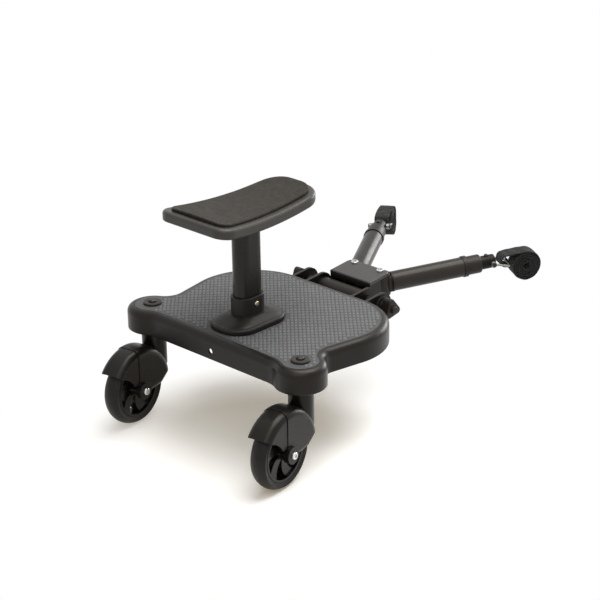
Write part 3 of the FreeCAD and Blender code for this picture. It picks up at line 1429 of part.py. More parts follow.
def make_seat():
    """Post, snap button, pan and pad, drawn about the foot of the post on the deck."""
    centre = (ZERO, ZERO)
    foot = s.post_foot + s.fit_gap
    tall = s.pan_rise - foot
    body = new_body("seat_post")
    sketch = sketch_on(body, "XY_Plane", foot)
    draw_path(sketch, *oval(s.post_radius, s.post_straight, centre))
    draw_path(sketch, *oval(s.post_radius - s.post_wall, s.post_straight, centre))
    add_pad(body, sketch, tall)
    sketch = sketch_on(body, "YZ_Plane", ZERO)
    draw_circle(sketch, (ZERO, s.button_rise), s.button_radius + s.run_gap)
    cut(body, sketch, s.post_radius * 2, True)
    pin_height = s.pan_rise - s.cross_pin_drop
    sketch = sketch_on(body, "YZ_Plane", s.post_radius * 2)
    draw_circle(sketch, (ZERO, pin_height), s.cross_pin_radius + s.run_gap)
    cut(body, sketch, s.post_radius * 4)
    keep(body, SEAT)

    tip = s.post_radius + s.slip_gap + s.collar_wall + s.button_proud
    shelf = s.post_radius - s.post_wall - s.fit_gap
    back = shelf - s.button_flange_thick
    dome = s.button_proud
    keep(turned("seat_button", "XY_Plane", [
        (back, ZERO), (back, s.button_flange), (shelf, s.button_flange), (shelf, s.button_radius),
        (tip - dome, s.button_radius), (tip, s.button_radius - dome), (tip, ZERO)], "H_Axis",
        {4: ((tip - dome, s.button_radius - dome), dome, -1)}), moved(SEAT, ZERO, ZERO, s.button_rise))
    tilt = moved(SEAT, ZERO, ZERO, s.button_rise, ALONG_X, 90)
    make_leaf("seat_spring", "XY_Plane", -shelf, back - s.fit_gap, s.seat_leaf_depth, s.leaf_half, tilt)

    under = s.pan_rise
    top = under + s.pan_thick
    outline = seat_outline(s.pan_rear, s.pan_front, s.pan_rear_half, s.pan_front_half,
                           s.pan_rear_corner, s.pan_front_corner)
    body = saddle("seat_pan", under, top, ZERO, outline, s.pan_rear)
    round_edges(body, beside_middle(under, top, True), s.pan_lip)
    round_edges(body, beside_middle(under, top, False), s.pan_round)
    skirt = under - s.spigot_height
    spigot = s.post_radius - s.post_wall - s.slip_gap
    sketch = sketch_on(body, "XY_Plane", skirt)
    draw_path(sketch, *oval(spigot, s.post_straight, centre))
    add_pad(body, sketch, s.spigot_height + s.pan_thick / 2)
    sketch = sketch_on(body, "YZ_Plane", s.post_radius)
    draw_circle(sketch, (ZERO, pin_height), s.cross_pin_radius + s.run_gap)
    cut(body, sketch, s.post_radius * 2)
    keep(body, SEAT)
    body = new_body("seat_cross_pin")
    sketch = sketch_on(body, "YZ_Plane", -s.post_radius)
    draw_circle(sketch, (ZERO, ZERO), s.cross_pin_radius)
    add_pad(body, sketch, s.post_radius * 2)
    keep(body, moved(SEAT, ZERO, ZERO, pin_height))

    outline = seat_outline(s.pad_rear, s.pad_front, s.pad_rear_half, s.pad_front_half,
                           s.pad_rear_corner, s.pad_front_corner)
    rest = top + s.fit_gap
    high = top + s.pad_thick
    body = saddle("seat_pad", rest, high, s.pad_crown, outline, s.pad_rear_half)
    round_edges(body, beside_middle(rest, high, True), s.pad_round)
    keep(body, SEAT)


def beside_middle(low, high, above):
    """Picks the rim edges of a saddle plate that lie wholly above or below its middle layer."""
    axis = saddle_axis.value
    layer = axis - (low.value + high.value) / 2

    def wanted(edge):
        ends = (edge.FirstParameter, edge.LastParameter)
        spots = [edge.valueAt(ends[0] + (ends[1] - ends[0]) * share) for share in (0, 0.5, 1)]
        reaches = [math.hypot(spot.y, spot.z - axis) for spot in spots]
        return max(reaches) < layer if above else min(reaches) > layer
    return wanted


def saddle(label, low, high, crown, outline, reach):
    """A plate swept up at both ends about a level line far above it, then trimmed to an outline."""
    body = new_body(label)
    axis = saddle_axis
    wide = reach
    sketch = sketch_on(body, "XZ_Plane", ZERO, axis)
    corners = [(-wide, low - axis), (wide, low - axis), (wide, high - axis), (-wide, high - axis)]
    arcs = {}
    if crown.value > 0:
        bend = (wide * wide + crown * crown) / (crown * 2)
        arcs[2] = ((ZERO, high - axis + crown - bend), bend, 1)
    draw_path(sketch, corners, arcs)
    revolve(body, sketch, "H_Axis", s.saddle_sweep)
    sketch = sketch_on(body, "XY_Plane", low - s.pan_thick)
    far = reach * 3
    draw_path(sketch, [(-far, -far), (far, -far), (far, far), (-far, far)])
    draw_path(sketch, *outline)
    cut(body, sketch, far, True)
    return body


make_deck_shell()
make_grip_mat()
make_stem_bearings()
make_hinge()
make_hub()
for side_name, side_sign in SIDES.items():
    make_arm(side_name, side_sign)
for side_name, side_sign in SIDES.items():
    make_caster(side_name, side_sign)
make_socket()
make_seat()

doc.recompute()
for thing in doc.Objects:
    if {"Invalid", "Error"} & set(thing.State):
        raise RuntimeError("%s is not right: %s" % (thing.Label, thing.State))
os.makedirs("parts", exist_ok=True)
for node in nodes:
    if node.Shape.isNull() or not node.Shape.isValid():
        raise RuntimeError("%s has no valid shape" % node.Label)
    node.Shape.exportStep("parts/%s.step" % node.Label)
    box = node.Shape.optimalBoundingBox()
    print("%-18s solids %d  volume %9.1f  x %7.1f %7.1f  y %7.1f %7.1f  z %7.1f %7.1f" % (
        node.Label, len(node.Shape.Solids), node.Shape.Volume,
        box.XMin, box.XMax, box.YMin, box.YMax, box.ZMin, box.ZMax))
whole = nodes[0].Shape.optimalBoundingBox()
for node in nodes:
    whole.add(node.Shape.optimalBoundingBox())
print("whole: x %.2f %.2f  y %.2f %.2f  z %.2f %.2f" % (
    whole.XMin, whole.XMax, whole.YMin, whole.YMax, whole.ZMin, whole.ZMax))
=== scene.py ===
# %% [markdown]
# # A ride-on board for a buggy, dressed for its portrait
#
# The board comes in as a frame of rigid parts at their real size, in metres. This lesson leaves
# those parts where they are. It gives each one a finish, lays a studded grip sheet on the deck,
# swaps the plain foam slab and the plain strap rolls for softer ones, and sets up the light and
# the camera. The frame is loaded first.

# %% Load the frame
import json
import math

import bpy
from mathutils import Matrix, Vector


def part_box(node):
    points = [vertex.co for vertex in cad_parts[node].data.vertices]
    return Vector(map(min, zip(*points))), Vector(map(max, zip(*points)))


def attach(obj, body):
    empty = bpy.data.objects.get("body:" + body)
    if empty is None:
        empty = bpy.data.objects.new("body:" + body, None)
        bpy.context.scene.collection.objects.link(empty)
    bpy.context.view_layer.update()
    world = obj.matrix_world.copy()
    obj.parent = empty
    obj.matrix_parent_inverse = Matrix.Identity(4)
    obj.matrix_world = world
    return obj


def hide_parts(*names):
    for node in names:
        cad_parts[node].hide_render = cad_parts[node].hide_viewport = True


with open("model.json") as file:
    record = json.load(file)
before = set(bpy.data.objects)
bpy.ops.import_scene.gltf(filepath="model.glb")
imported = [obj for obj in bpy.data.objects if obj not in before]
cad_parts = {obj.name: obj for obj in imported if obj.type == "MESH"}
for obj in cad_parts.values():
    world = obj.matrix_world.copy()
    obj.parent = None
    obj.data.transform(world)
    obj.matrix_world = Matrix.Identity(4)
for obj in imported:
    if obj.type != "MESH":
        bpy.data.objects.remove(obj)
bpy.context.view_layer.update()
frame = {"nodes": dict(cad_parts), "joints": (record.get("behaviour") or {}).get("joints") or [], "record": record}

NODES = frame["nodes"]
JOINTS = {joint["name"]: joint for joint in frame["joints"]}
MM = 0.001
FULL_TURN = 2 * math.pi

# %% [markdown]
# ## Camera
#
# The portrait looks down on the board from behind its right rear corner through a long lens. A
# camera can be aimed with a Track To constraint, but then its roll can't be set. Here the three
# axes of the camera are worked out from its heading, its dip and a small roll, and they become
# the columns of its matrix. The lens shift slides the picture inside the frame without turning
# the camera, so upright edges keep their lean.

# %% Set up the camera
CAMERA_SPOT = (1.7761, -1.8958, 1.2517)
CAMERA_HEADING = 43.12
CAMERA_DIP = 22.66
CAMERA_ROLL = -0.44
CAMERA_LENS = 110.8
CAMERA_SHIFT = (-0.0472, -0.0154)


def toward(heading, height):
    """Unit vector from the board towards a viewer at a heading and a height, in degrees."""
    turn, rise = math.radians(heading), math.radians(height)
    level = Vector((math.sin(turn), -math.cos(turn), 0))
    return level * math.cos(rise) + Vector((0, 0, math.sin(rise)))


def camera_axes(back, roll):
    """Right, up and back axes of a camera that looks along minus back, rolled by an angle."""
    level = Vector((0, 0, 1)).cross(back).normalized()
    turn = Matrix.Rotation(math.radians(roll), 3, back)
    right = turn @ level
    return Matrix((right, back.cross(right), back)).transposed()


back = toward(CAMERA_HEADING, CAMERA_DIP)
camera = bpy.data.objects.new("portrait_camera", bpy.data.cameras.new("portrait_camera"))
bpy.context.scene.collection.objects.link(camera)
camera.data.lens = CAMERA_LENS
camera.data.shift_x, camera.data.shift_y = CAMERA_SHIFT
camera.matrix_world = Matrix.Translation(CAMERA_SPOT) @ camera_axes(back, CAMERA_ROLL).to_4x4()
bpy.context.scene.camera = camera
print("camera at", CAMERA_SPOT)

# %% [markdown]
# ## Nodes in a few words
#
# Every finish below is a small tree of shader nodes. Each tree needs the same few moves: add a
# node, set its sockets, link what varies. The helpers here do each move in one line, so a finish
# reads like a recipe. A value that is the same all over goes straight onto its socket, and only
# what changes across the surface is linked.

# %% Node helpers
RGBA_FACTOR, RGBA_FIRST, RGBA_SECOND, RGBA_RESULT = 0, 6, 7, 2


def plug(tree, socket, value):
    """Links a socket to another one, or sets it to a plain value."""
    if isinstance(value, bpy.types.NodeSocket):
        tree.links.new(value, socket)
    else:
        socket.default_value = value


def add(tree, kind, settings=None, **inputs):
    """A new shader node with its settings and sockets filled in; gives its first output, if any."""
    node = tree.nodes.new("ShaderNode" + kind)
    for name, value in (settings or {}).items():
        setattr(node, name, value)
    for name, value in inputs.items():
        plug(tree, node.inputs[name.replace("_", " ")], value)
    return node.outputs[0] if node.outputs else None


def mix(tree, factor, first, second):
    """A colour between two colours."""
    node = tree.nodes.new("ShaderNodeMix")
    node.data_type = "RGBA"
    plug(tree, node.inputs[RGBA_FACTOR], factor)
    plug(tree, node.inputs[RGBA_FIRST], first)
    plug(tree, node.inputs[RGBA_SECOND], second)
    return node.outputs[RGBA_RESULT]


def math_node(tree, operation, first, second):
    """A sum, a product or another result of two values."""
    node = tree.nodes.new("ShaderNodeMath")
    node.operation = operation
    plug(tree, node.inputs[0], first)
    plug(tree, node.inputs[1], second)
    return node.outputs[0]


print("node helpers ready")

# %% [markdown]
# Patterns come from noise. Laid on the box around a part, noise would grow with the part, and laid
# on the room it would slip when the part moves. The part's own coordinates are in metres and move
# with it, so each blotch has a real size. Noise keeps near the middle of its range, so one helper
# stretches it to the range that a finish asks for. The last helper tells the rays that show a thing
# to the eye from those that only carry its light.

# %% Pattern and ray helpers
NOISE_LOW, NOISE_HIGH = 0.3, 0.7


def spread(tree, source, low, high, source_low=NOISE_LOW, source_high=NOISE_HIGH):
    """Stretches a grey value from its own range, that of noise if none is given, onto another."""
    return add(tree, "MapRange", Value=source, From_Min=source_low, From_Max=source_high,
               To_Min=low, To_Max=high)


def place(tree):
    """Coordinates fixed to the part, in metres."""
    node = tree.nodes.new("ShaderNodeTexCoord")
    return node.outputs["Object"]


def speckle(tree, size, detail, stretch=None):
    """Cloudy noise: blotches about as wide as the size, in metres, and finer layers of detail."""
    spot = place(tree)
    if stretch:
        spot = add(tree, "Mapping", Vector=spot, Scale=stretch)
    return add(tree, "TexNoise", Vector=spot, Scale=1 / size, Detail=detail)


def white_seen(tree):
    """One for rays that look straight at, mirror or see through to what the node is on."""
    node = tree.nodes.new("ShaderNodeLightPath")
    seen = math_node(tree, "MAXIMUM", node.outputs["Is Camera Ray"], node.outputs["Is Glossy Ray"])
    return math_node(tree, "MAXIMUM", seen, node.outputs["Is Transmission Ray"])


print("pattern and ray helpers ready")

# %% [markdown]
# ## Floor
#
# The board stands on a plain white sweep that keeps a soft shadow. A white floor could be
# lit until it clips, but then the board would be overlit too. So the floor glows a little for the
# rays that look at it, which lifts it to white, while its plain diffuse half still takes the
# shadow. The glow is warm and the diffuse colour a little cool, so in the shadow the glow gives a
# painted warm tint. Away from the board the glow takes over, so the floor has no edge.

# %% Lay the floor
FLOOR_RADIUS = 9.0
FLOOR_SIDES = 96
FLOOR_MIDDLE = (0.06, -0.20, 0)
FLOOR_FADE = (0.15, 0.42)
# The warm glow against a cooler lit colour is a painted warm tint in the floor's shadow.
FLOOR_GLOW = (0.21, 0.175, 0.115, 1)
FLOOR_LIT = (0.95, 0.96, 0.98, 1)
FLOOR_BOUNCE = (0.8, 0.79, 0.78, 1)
WHITE = (1, 1, 1, 1)

bpy.ops.object.select_all(action="DESELECT")
bpy.ops.mesh.primitive_circle_add(vertices=FLOOR_SIDES, radius=FLOOR_RADIUS, fill_type="NGON")
floor = bpy.context.object
floor.name = "studio_floor"
sweep = bpy.data.materials.new("white_sweep")
sweep.use_nodes = True
tree = sweep.node_tree
tree.nodes.clear()
seen = white_seen(tree)
lit = add(tree, "BsdfDiffuse", Color=mix(tree, seen, FLOOR_BOUNCE, FLOOR_LIT))
glow = add(tree, "Emission", Color=FLOOR_GLOW, Strength=seen)
near = tree.nodes.new("ShaderNodeAddShader")
plug(tree, near.inputs[0], lit)
plug(tree, near.inputs[1], glow)
reach = tree.nodes.new("ShaderNodeVectorMath")
reach.operation = "DISTANCE"
plug(tree, reach.inputs[0], place(tree))
plug(tree, reach.inputs[1], FLOOR_MIDDLE)
fade = spread(tree, reach.outputs["Value"], 0, 1, *FLOOR_FADE)
far = tree.nodes.new("ShaderNodeMixShader")
plug(tree, far.inputs[0], math_node(tree, "MULTIPLY", fade, seen))
plug(tree, far.inputs[1], near.outputs[0])
plug(tree, far.inputs[2], add(tree, "Emission", Color=WHITE))
add(tree, "OutputMaterial", Surface=far.outputs[0])
floor.data.materials.append(sweep)
print("floor radius", FLOOR_RADIUS)

# %% [markdown]
# ## Light
#
# Black plastic shows its shape mostly by what it mirrors. Small lamps would leave dots on it, so
# the lamps are large and soft: a key hangs above and a little in front of the board, a fill hangs
# above the camera, and a low rim lamp in front draws a bright edge along the arms. The sky is
# white to the eye and in reflections, and a mild grey for the light it gives.

# %% Light the studio
SKY_GREY = (0.25, 0.25, 0.25, 1)
KEY_LIGHT = {"heading": 150, "height": 76, "distance": 2.6, "size": 2.2, "watts": 84}
FILL_LIGHT = {"heading": 40, "height": 50, "distance": 3.0, "size": 2.4, "watts": 24}
RIM_LIGHT = {"heading": 178, "height": 13, "distance": 2.5, "size": 1.2, "watts": 28}
AIM = Vector((0, -0.05, 0.15))


def softbox(name, heading, height, distance, size, watts):
    """Hangs a square lamp that faces the board."""
    lamp = bpy.data.lights.new(name, "AREA")
    lamp.size = size
    lamp.energy = watts
    holder = bpy.data.objects.new(name, lamp)
    bpy.context.scene.collection.objects.link(holder)
    out = toward(heading, height)
    holder.matrix_world = Matrix.Translation(AIM + out * distance) @ camera_axes(out, 0).to_4x4()


softbox("key_softbox", **KEY_LIGHT)
softbox("fill_softbox", **FILL_LIGHT)
softbox("rim_softbox", **RIM_LIGHT)
sky = bpy.data.worlds.new("studio_sky")
bpy.context.scene.world = sky
sky.use_nodes = True
tree = sky.node_tree
tree.nodes.clear()
shade = add(tree, "Background", Color=mix(tree, white_seen(tree), SKY_GREY, WHITE))
add(tree, "OutputWorld", Surface=shade)
bpy.context.scene.view_settings.view_transform = "Standard"
print("three softboxes and a pale sky")

# %% [markdown]
# ## Skins
#
# Used parts are never one flat colour: the shade drifts, edges are rubbed a little paler, and dust
# settles on what faces up. Edges could be rounded in the mesh, but the parts have to stay as they
# came. So a Bevel node rounds them in the shading alone, and where its normal differs from the
# true one there is an edge, which also gives a mask for the rubbed places.

# %% Colour helpers
def new_finish(name):
    """A fresh material and its tree, with the main shader inside."""
    material = bpy.data.materials.new(name)
    material.use_nodes = True
    return material, material.node_tree, material.node_tree.nodes["Principled BSDF"].inputs


def paint(dark, share):
    """A colour made lighter by a share."""
    return tuple(channel * (1 + share) for channel in dark) + (1,)


def shades(tree, clouds, dark, shares):
    """A colour that drifts between two shades of itself where the clouds drift."""
    return mix(tree, clouds, paint(dark, shares[0]), paint(dark, shares[1]))


print("colour helpers ready")

# %% Edge and dust helpers
EDGE_SAMPLES = 4
EDGE_RANGE = (0.75, 0.99)
SKY_RANGE = (0.6, 1.0)


def soft_normal(tree, radius):
    """Normal that turns over sharp edges as if they were rounded."""
    return add(tree, "Bevel", {"samples": EDGE_SAMPLES}, Radius=radius)


def edge_mask(tree, normal):
    """White along the edges, where the rounded normal leaves the true one."""
    shape = tree.nodes.new("ShaderNodeNewGeometry")
    along = tree.nodes.new("ShaderNodeVectorMath")
    along.operation = "DOT_PRODUCT"
    plug(tree, along.inputs[0], normal)
    plug(tree, along.inputs[1], shape.outputs["Normal"])
    return spread(tree, along.outputs["Value"], 1, 0, *EDGE_RANGE)


def facing_up(tree):
    """White on what faces the sky."""
    shape = tree.nodes.new("ShaderNodeNewGeometry")
    axes = tree.nodes.new("ShaderNodeSeparateXYZ")
    plug(tree, axes.inputs[0], shape.outputs["Normal"])
    return spread(tree, axes.outputs["Z"], 0, 1, *SKY_RANGE)


print("edge and dust helpers ready")

# %% [markdown]
# ## Moulded plastic
#
# Most of the board is injection moulded. The mould is spark eroded, so the skin has a fine grain,
# and its gloss drifts from place to place. A picture of plastic could be wrapped on, but it would
# need a map on every part and would show its seams. One recipe makes all of it from noise at
# several sizes instead.

# %% The moulding recipe
MOULD_EDGE = 0.8 * MM
MOULD_CLOUD = 45 * MM
MOULD_GLOSS = 12 * MM
MOULD_WEAR = 4 * MM
MOULD_DUST = 18 * MM
MOULD_SHADES = (-0.18, 0.22)
WEAR_SHARES = (0.1, 0.8)
DUST_DULLS = 0.5
DUST = (0.034, 0.031, 0.028, 1)
WARM = (1.0, 0.93, 0.86, 1)


def moulding(name, dark, gloss, grain, depth, shine=0.25, rub=0.014, dust=0.12):
    """Moulded plastic: its colour, range of roughness, grain size and depth, shine, rub and dust."""
    material, tree, main = new_finish(name)
    colour = shades(tree, speckle(tree, MOULD_CLOUD, detail=4), dark, MOULD_SHADES)
    normal = soft_normal(tree, MOULD_EDGE)
    wear = spread(tree, speckle(tree, MOULD_WEAR, detail=3), *WEAR_SHARES)
    patchy = math_node(tree, "MULTIPLY", edge_mask(tree, normal), wear)
    colour = mix(tree, patchy, colour, tuple(channel + rub for channel in dark) + (1,))
    film = spread(tree, speckle(tree, MOULD_DUST, detail=6), 0, dust)
    settled = math_node(tree, "MULTIPLY", facing_up(tree), film)
    plug(tree, main["Base Color"], mix(tree, settled, colour, DUST))
    rough = spread(tree, speckle(tree, MOULD_GLOSS, detail=5), *gloss)
    dulled = math_node(tree, "MULTIPLY", settled, DUST_DULLS)
    plug(tree, main["Roughness"], math_node(tree, "ADD", rough, dulled))
    plug(tree, main["Specular IOR Level"], shine)
    plug(tree, main["Specular Tint"], WARM)
    skin = speckle(tree, grain, detail=3)
    plug(tree, main["Normal"], add(tree, "Bump", Height=skin, Distance=depth, Normal=normal))
    return material


print("moulding recipe ready")

# %% [markdown]
# The recipe is then filled in for each moulding. The deck, the wheel hoods and the seat's post are
# deep black and satin, and the seat's socket is more matt. The hub and the ends of the arms are a
# little lighter, the inner tubes are dull, and the hub's cover, the pan under the foam and the cap
# washers are nearly grey. The wheel rims are the darkest and the glossiest, and the bushes are
# natural nylon.

# %% Moulded finishes
MOULDINGS = {
    "moulded_black": {"dark": (0.0125, 0.0104, 0.0086), "gloss": (0.34, 0.46),
                      "grain": 0.5 * MM, "depth": 0.02 * MM},
    "deck": {"dark": (0.0056, 0.0042, 0.0033), "gloss": (0.27, 0.37),
             "grain": 0.5 * MM, "depth": 0.012 * MM, "shine": 0.26},
    "satin_black": {"dark": (0.0050, 0.0040, 0.0033), "gloss": (0.26, 0.34),
                    "grain": 0.8 * MM, "depth": 0.004 * MM, "shine": 0.32},
    "socket": {"dark": (0.0066, 0.0054, 0.0045), "gloss": (0.42, 0.52),
               "grain": 0.8 * MM, "depth": 0.006 * MM, "shine": 0.3},
    "hood": {"dark": (0.0056, 0.0046, 0.0038), "gloss": (0.26, 0.36),
             "grain": 0.6 * MM, "depth": 0.010 * MM, "shine": 0.22},
    "slider": {"dark": (0.0042, 0.0036, 0.0031), "gloss": (0.34, 0.46),
               "grain": 0.6 * MM, "depth": 0.014 * MM, "shine": 0.15},
    "pan": {"dark": (0.030, 0.0275, 0.0250), "gloss": (0.34, 0.46),
            "grain": 0.5 * MM, "depth": 0.02 * MM, "shine": 0.4},
    "cap": {"dark": (0.026, 0.023, 0.021), "gloss": (0.46, 0.6),
            "grain": 0.5 * MM, "depth": 0.05 * MM},
    "bush": {"dark": (0.50, 0.48, 0.42), "gloss": (0.3, 0.4),
             "grain": 0.8 * MM, "depth": 0.02 * MM, "rub": 0.0},
    "rim": {"dark": (0.0022, 0.0019, 0.0017), "gloss": (0.20, 0.30),
            "grain": 0.9 * MM, "depth": 0.02 * MM, "rub": 0.006},
    "cover": {"dark": (0.028, 0.0265, 0.0250), "gloss": (0.30, 0.40),
              "grain": 0.7 * MM, "depth": 0.015 * MM, "shine": 0.5},
}
FINISHES = {name: moulding(name, **recipe) for name, recipe in MOULDINGS.items()}
print("moulded finishes:", ", ".join(FINISHES))

# %% [markdown]
# ## Painted tube
#
# The telescopic arms are steel tubes with a satin powder coat. Powder flows as it is baked and
# leaves a faint orange peel, so the bump is coarser and far shallower than a mould's grain. A
# clear coat on the main shader would add a second, sharper highlight. The paint is thin and
# satin, so the shader's own shine, kept low and a little warm, gives the long soft highlights.

# %% Powder coat
PEEL = 2.2 * MM
PEEL_DEPTH = 0.0025 * MM
COAT_EDGE = 0.5 * MM
COAT_CLOUD = 30 * MM
COAT_GLOSS = 28 * MM
COAT_SHADES = (-0.2, 0.25)
COAT_RUBBED = 2.0
COAT_SHINE = 0.25


def powder_coat(name, dark, gloss):
    """Satin paint on a tube: its colour and range of roughness."""
    material, tree, main = new_finish(name)
    colour = shades(tree, speckle(tree, COAT_CLOUD, detail=4), dark, COAT_SHADES)
    normal = soft_normal(tree, COAT_EDGE)
    edges = edge_mask(tree, normal)
    plug(tree, main["Base Color"], mix(tree, edges, colour, paint(dark, COAT_RUBBED)))
    plug(tree, main["Roughness"], spread(tree, speckle(tree, COAT_GLOSS, detail=2), *gloss))
    peel = speckle(tree, PEEL, detail=1)
    plug(tree, main["Normal"], add(tree, "Bump", Height=peel, Distance=PEEL_DEPTH, Normal=normal))
    plug(tree, main["Specular IOR Level"], COAT_SHINE)
    plug(tree, main["Specular Tint"], WARM)
    return material


TUBE_COAT = {"dark": (0.0185, 0.0160, 0.0138), "gloss": (0.26, 0.34)}
FINISHES["painted_tube"] = powder_coat("painted_tube", **TUBE_COAT)
print("powder coat ready")

# %% [markdown]
# ## Metals
#
# Bolt heads and axles are zinc plated steel: bright, slightly grey, with fine scratches and a
# cloudy bloom. The wire loops are duller, the snap button of the seat post has a warmer, brassy
# plating, and a few bolts and pins are blackened. A colour alone would look like grey paint,
# because metal shows colour only in its reflections, so the recipe varies the roughness most.

# %% Plated metal
METAL_EDGE = 0.35 * MM
BLOOM = 3 * MM
SCRATCH = 0.5 * MM
SCRATCH_STRETCH = (1, 0.08, 0.6)
SCRATCH_DEPTH = 0.012 * MM


def plated(name, bright, dull, gloss):
    """Plated metal: its clean and clouded colours and its range of roughness."""
    material, tree, main = new_finish(name)
    plug(tree, main["Metallic"], 1.0)
    bloom = speckle(tree, BLOOM, detail=5)
    plug(tree, main["Base Color"], mix(tree, spread(tree, bloom, 0, 1), bright, dull))
    plug(tree, main["Roughness"], spread(tree, bloom, *gloss))
    marks = speckle(tree, SCRATCH, detail=2, stretch=SCRATCH_STRETCH)
    normal = soft_normal(tree, METAL_EDGE)
    skin = add(tree, "Bump", Height=marks, Distance=SCRATCH_DEPTH, Normal=normal)
    plug(tree, main["Normal"], skin)
    return material


PLATINGS = {
    "steel": {"bright": (0.66, 0.66, 0.65, 1), "dull": (0.48, 0.48, 0.47, 1),
              "gloss": (0.18, 0.38)},
    "button": {"bright": (0.62, 0.54, 0.38, 1), "dull": (0.42, 0.35, 0.24, 1),
               "gloss": (0.22, 0.40)},
    "wire": {"bright": (0.34, 0.33, 0.31, 1), "dull": (0.20, 0.19, 0.18, 1),
             "gloss": (0.28, 0.46)},
    "dark_bolt": {"bright": (0.06, 0.058, 0.055, 1), "dull": (0.03, 0.029, 0.028, 1),
                  "gloss": (0.30, 0.45)},
}
FINISHES.update({name: plated(name, **recipe) for name, recipe in PLATINGS.items()})
print("plated metals:", ", ".join(PLATINGS))

# %% [markdown]
# ## Rubber and foam
#
# The grip mat and the tyres are rubber: no grain from a mould, but a bloom that makes them matt
# and uneven. Rubber also scatters a little light at grazing angles, which the sheen of the main
# shader imitates. The low parts of the mat, between its studs, have a darker colour of their
# own: painted shade for the floor between the studs. The seat's slab is closed-cell foam, whose
# cut cells give a pebbled skin.

# %% The rubber recipe
RUBBER_EDGE = 0.5 * MM
RUBBER_CLOUD = 35 * MM
RUBBER_MARKS = 11 * MM
RUBBER_GLOSS = 7 * MM
RUBBER_SHADES = (-0.14, 0.16)
RUBBER_SHINE = 0.25
PEBBLE_SHARES = (0, 0.5)
PEBBLE_SHADE = -0.35
MARK_RANGE = (0.5, 0.8)
MARK_SHADE = 0.9
SHEEN_SPREAD = 0.5


def rubber(name, dark, gloss, pebble, depth, dust, sheen):
    """Matt rubber or foam: pebbles of a size and depth, pale dust and a soft sheen."""
    material, tree, main = new_finish(name)
    colour = shades(tree, speckle(tree, RUBBER_CLOUD, detail=5), dark, RUBBER_SHADES)
    fine = speckle(tree, pebble, detail=2)
    colour = mix(tree, spread(tree, fine, *PEBBLE_SHARES), colour, paint(dark, PEBBLE_SHADE))
    patches = spread(tree, speckle(tree, RUBBER_MARKS, detail=6), 0, 1, *MARK_RANGE)
    marks = math_node(tree, "MULTIPLY", patches, dust)
    plug(tree, main["Base Color"], mix(tree, marks, colour, paint(dark, MARK_SHADE)))
    plug(tree, main["Roughness"], spread(tree, speckle(tree, RUBBER_GLOSS, detail=4), *gloss))
    plug(tree, main["Specular IOR Level"], RUBBER_SHINE)
    plug(tree, main["Specular Tint"], WARM)
    plug(tree, main["Sheen Weight"], sheen)
    plug(tree, main["Sheen Roughness"], SHEEN_SPREAD)
    normal = soft_normal(tree, RUBBER_EDGE)
    plug(tree, main["Normal"], add(tree, "Bump", Height=fine, Distance=depth, Normal=normal))
    return material


print("rubber recipe ready")

# %% Rubber and foam finishes
RUBBERS = {
    "mat": {"dark": (0.121, 0.126, 0.125), "gloss": (0.50, 0.66),
            "pebble": 0.45 * MM, "depth": 0.06 * MM, "dust": 0.25, "sheen": 0.04},
    # Darker than the mat: painted shade for the low floor between the studs.
    "gap": {"dark": (0.082, 0.084, 0.083), "gloss": (0.60, 0.75),
            "pebble": 0.45 * MM, "depth": 0.06 * MM, "dust": 0.15, "sheen": 0.0},
    "tyre": {"dark": (0.0034, 0.0029, 0.0025), "gloss": (0.42, 0.56),
             "pebble": 0.6 * MM, "depth": 0.05 * MM, "dust": 0.20, "sheen": 0.03},
    "foam": {"dark": (0.0238, 0.0206, 0.0172), "gloss": (0.72, 0.88),
             "pebble": 0.7 * MM, "depth": 0.16 * MM, "dust": 0.30, "sheen": 0.02},
}
FINISHES.update({name: rubber(name, **recipe) for name, recipe in RUBBERS.items()})
print("rubbers and foam:", ", ".join(RUBBERS))

# %% [markdown]
# ## Webbing
#
# The straps are narrow woven webbing with a brushed face. Their own map runs along and across
# the strap, so two waves that cross make fine ridges of yarn wherever the strap bends. A pattern
# on the part's own coordinates would cut through the roll like a print through a log. The brushed
# nap is noise on top and a little sheen.

# %% Yarn waves
STRAP_WIDTH = 24.5 * MM
STRAP_LENGTH = 656 * MM
WEAVE_UNIT = 1.1 * MM
YARN_WAVE = {"Scale": 0.5, "Distortion": 0.6}


def yarn_waves(tree, direction, counts):
    """Ridges of yarn across one direction of the strap's own map."""
    where = tree.nodes.new("ShaderNodeUVMap")
    grown = add(tree, "Mapping", Vector=where.outputs[0], Scale=counts)
    bands = {"wave_type": "BANDS", "bands_direction": direction}
    return add(tree, "TexWave", bands, Vector=grown, **YARN_WAVE)


print("weave of %.0f units across the strap" % (STRAP_WIDTH / WEAVE_UNIT))

# %% Webbing recipe
WEAVE_DEPTH = 0.25 * MM
NAP = 0.7 * MM
NAP_SHADES = (-0.3, 0.35)
NAP_GLOSS = (0.8, 0.95)
NAP_RISE = 0.8
LINT = 2.5 * MM
LINT_SHARES = (0, 0.4)
LINT_RANGE = (0.52, 0.75)
LINT_SHADE = 1.6
WEBBING_SHINE = 0.2
WEBBING_SHEEN = 0.12
WEBBING_SHEEN_SPREAD = 0.35


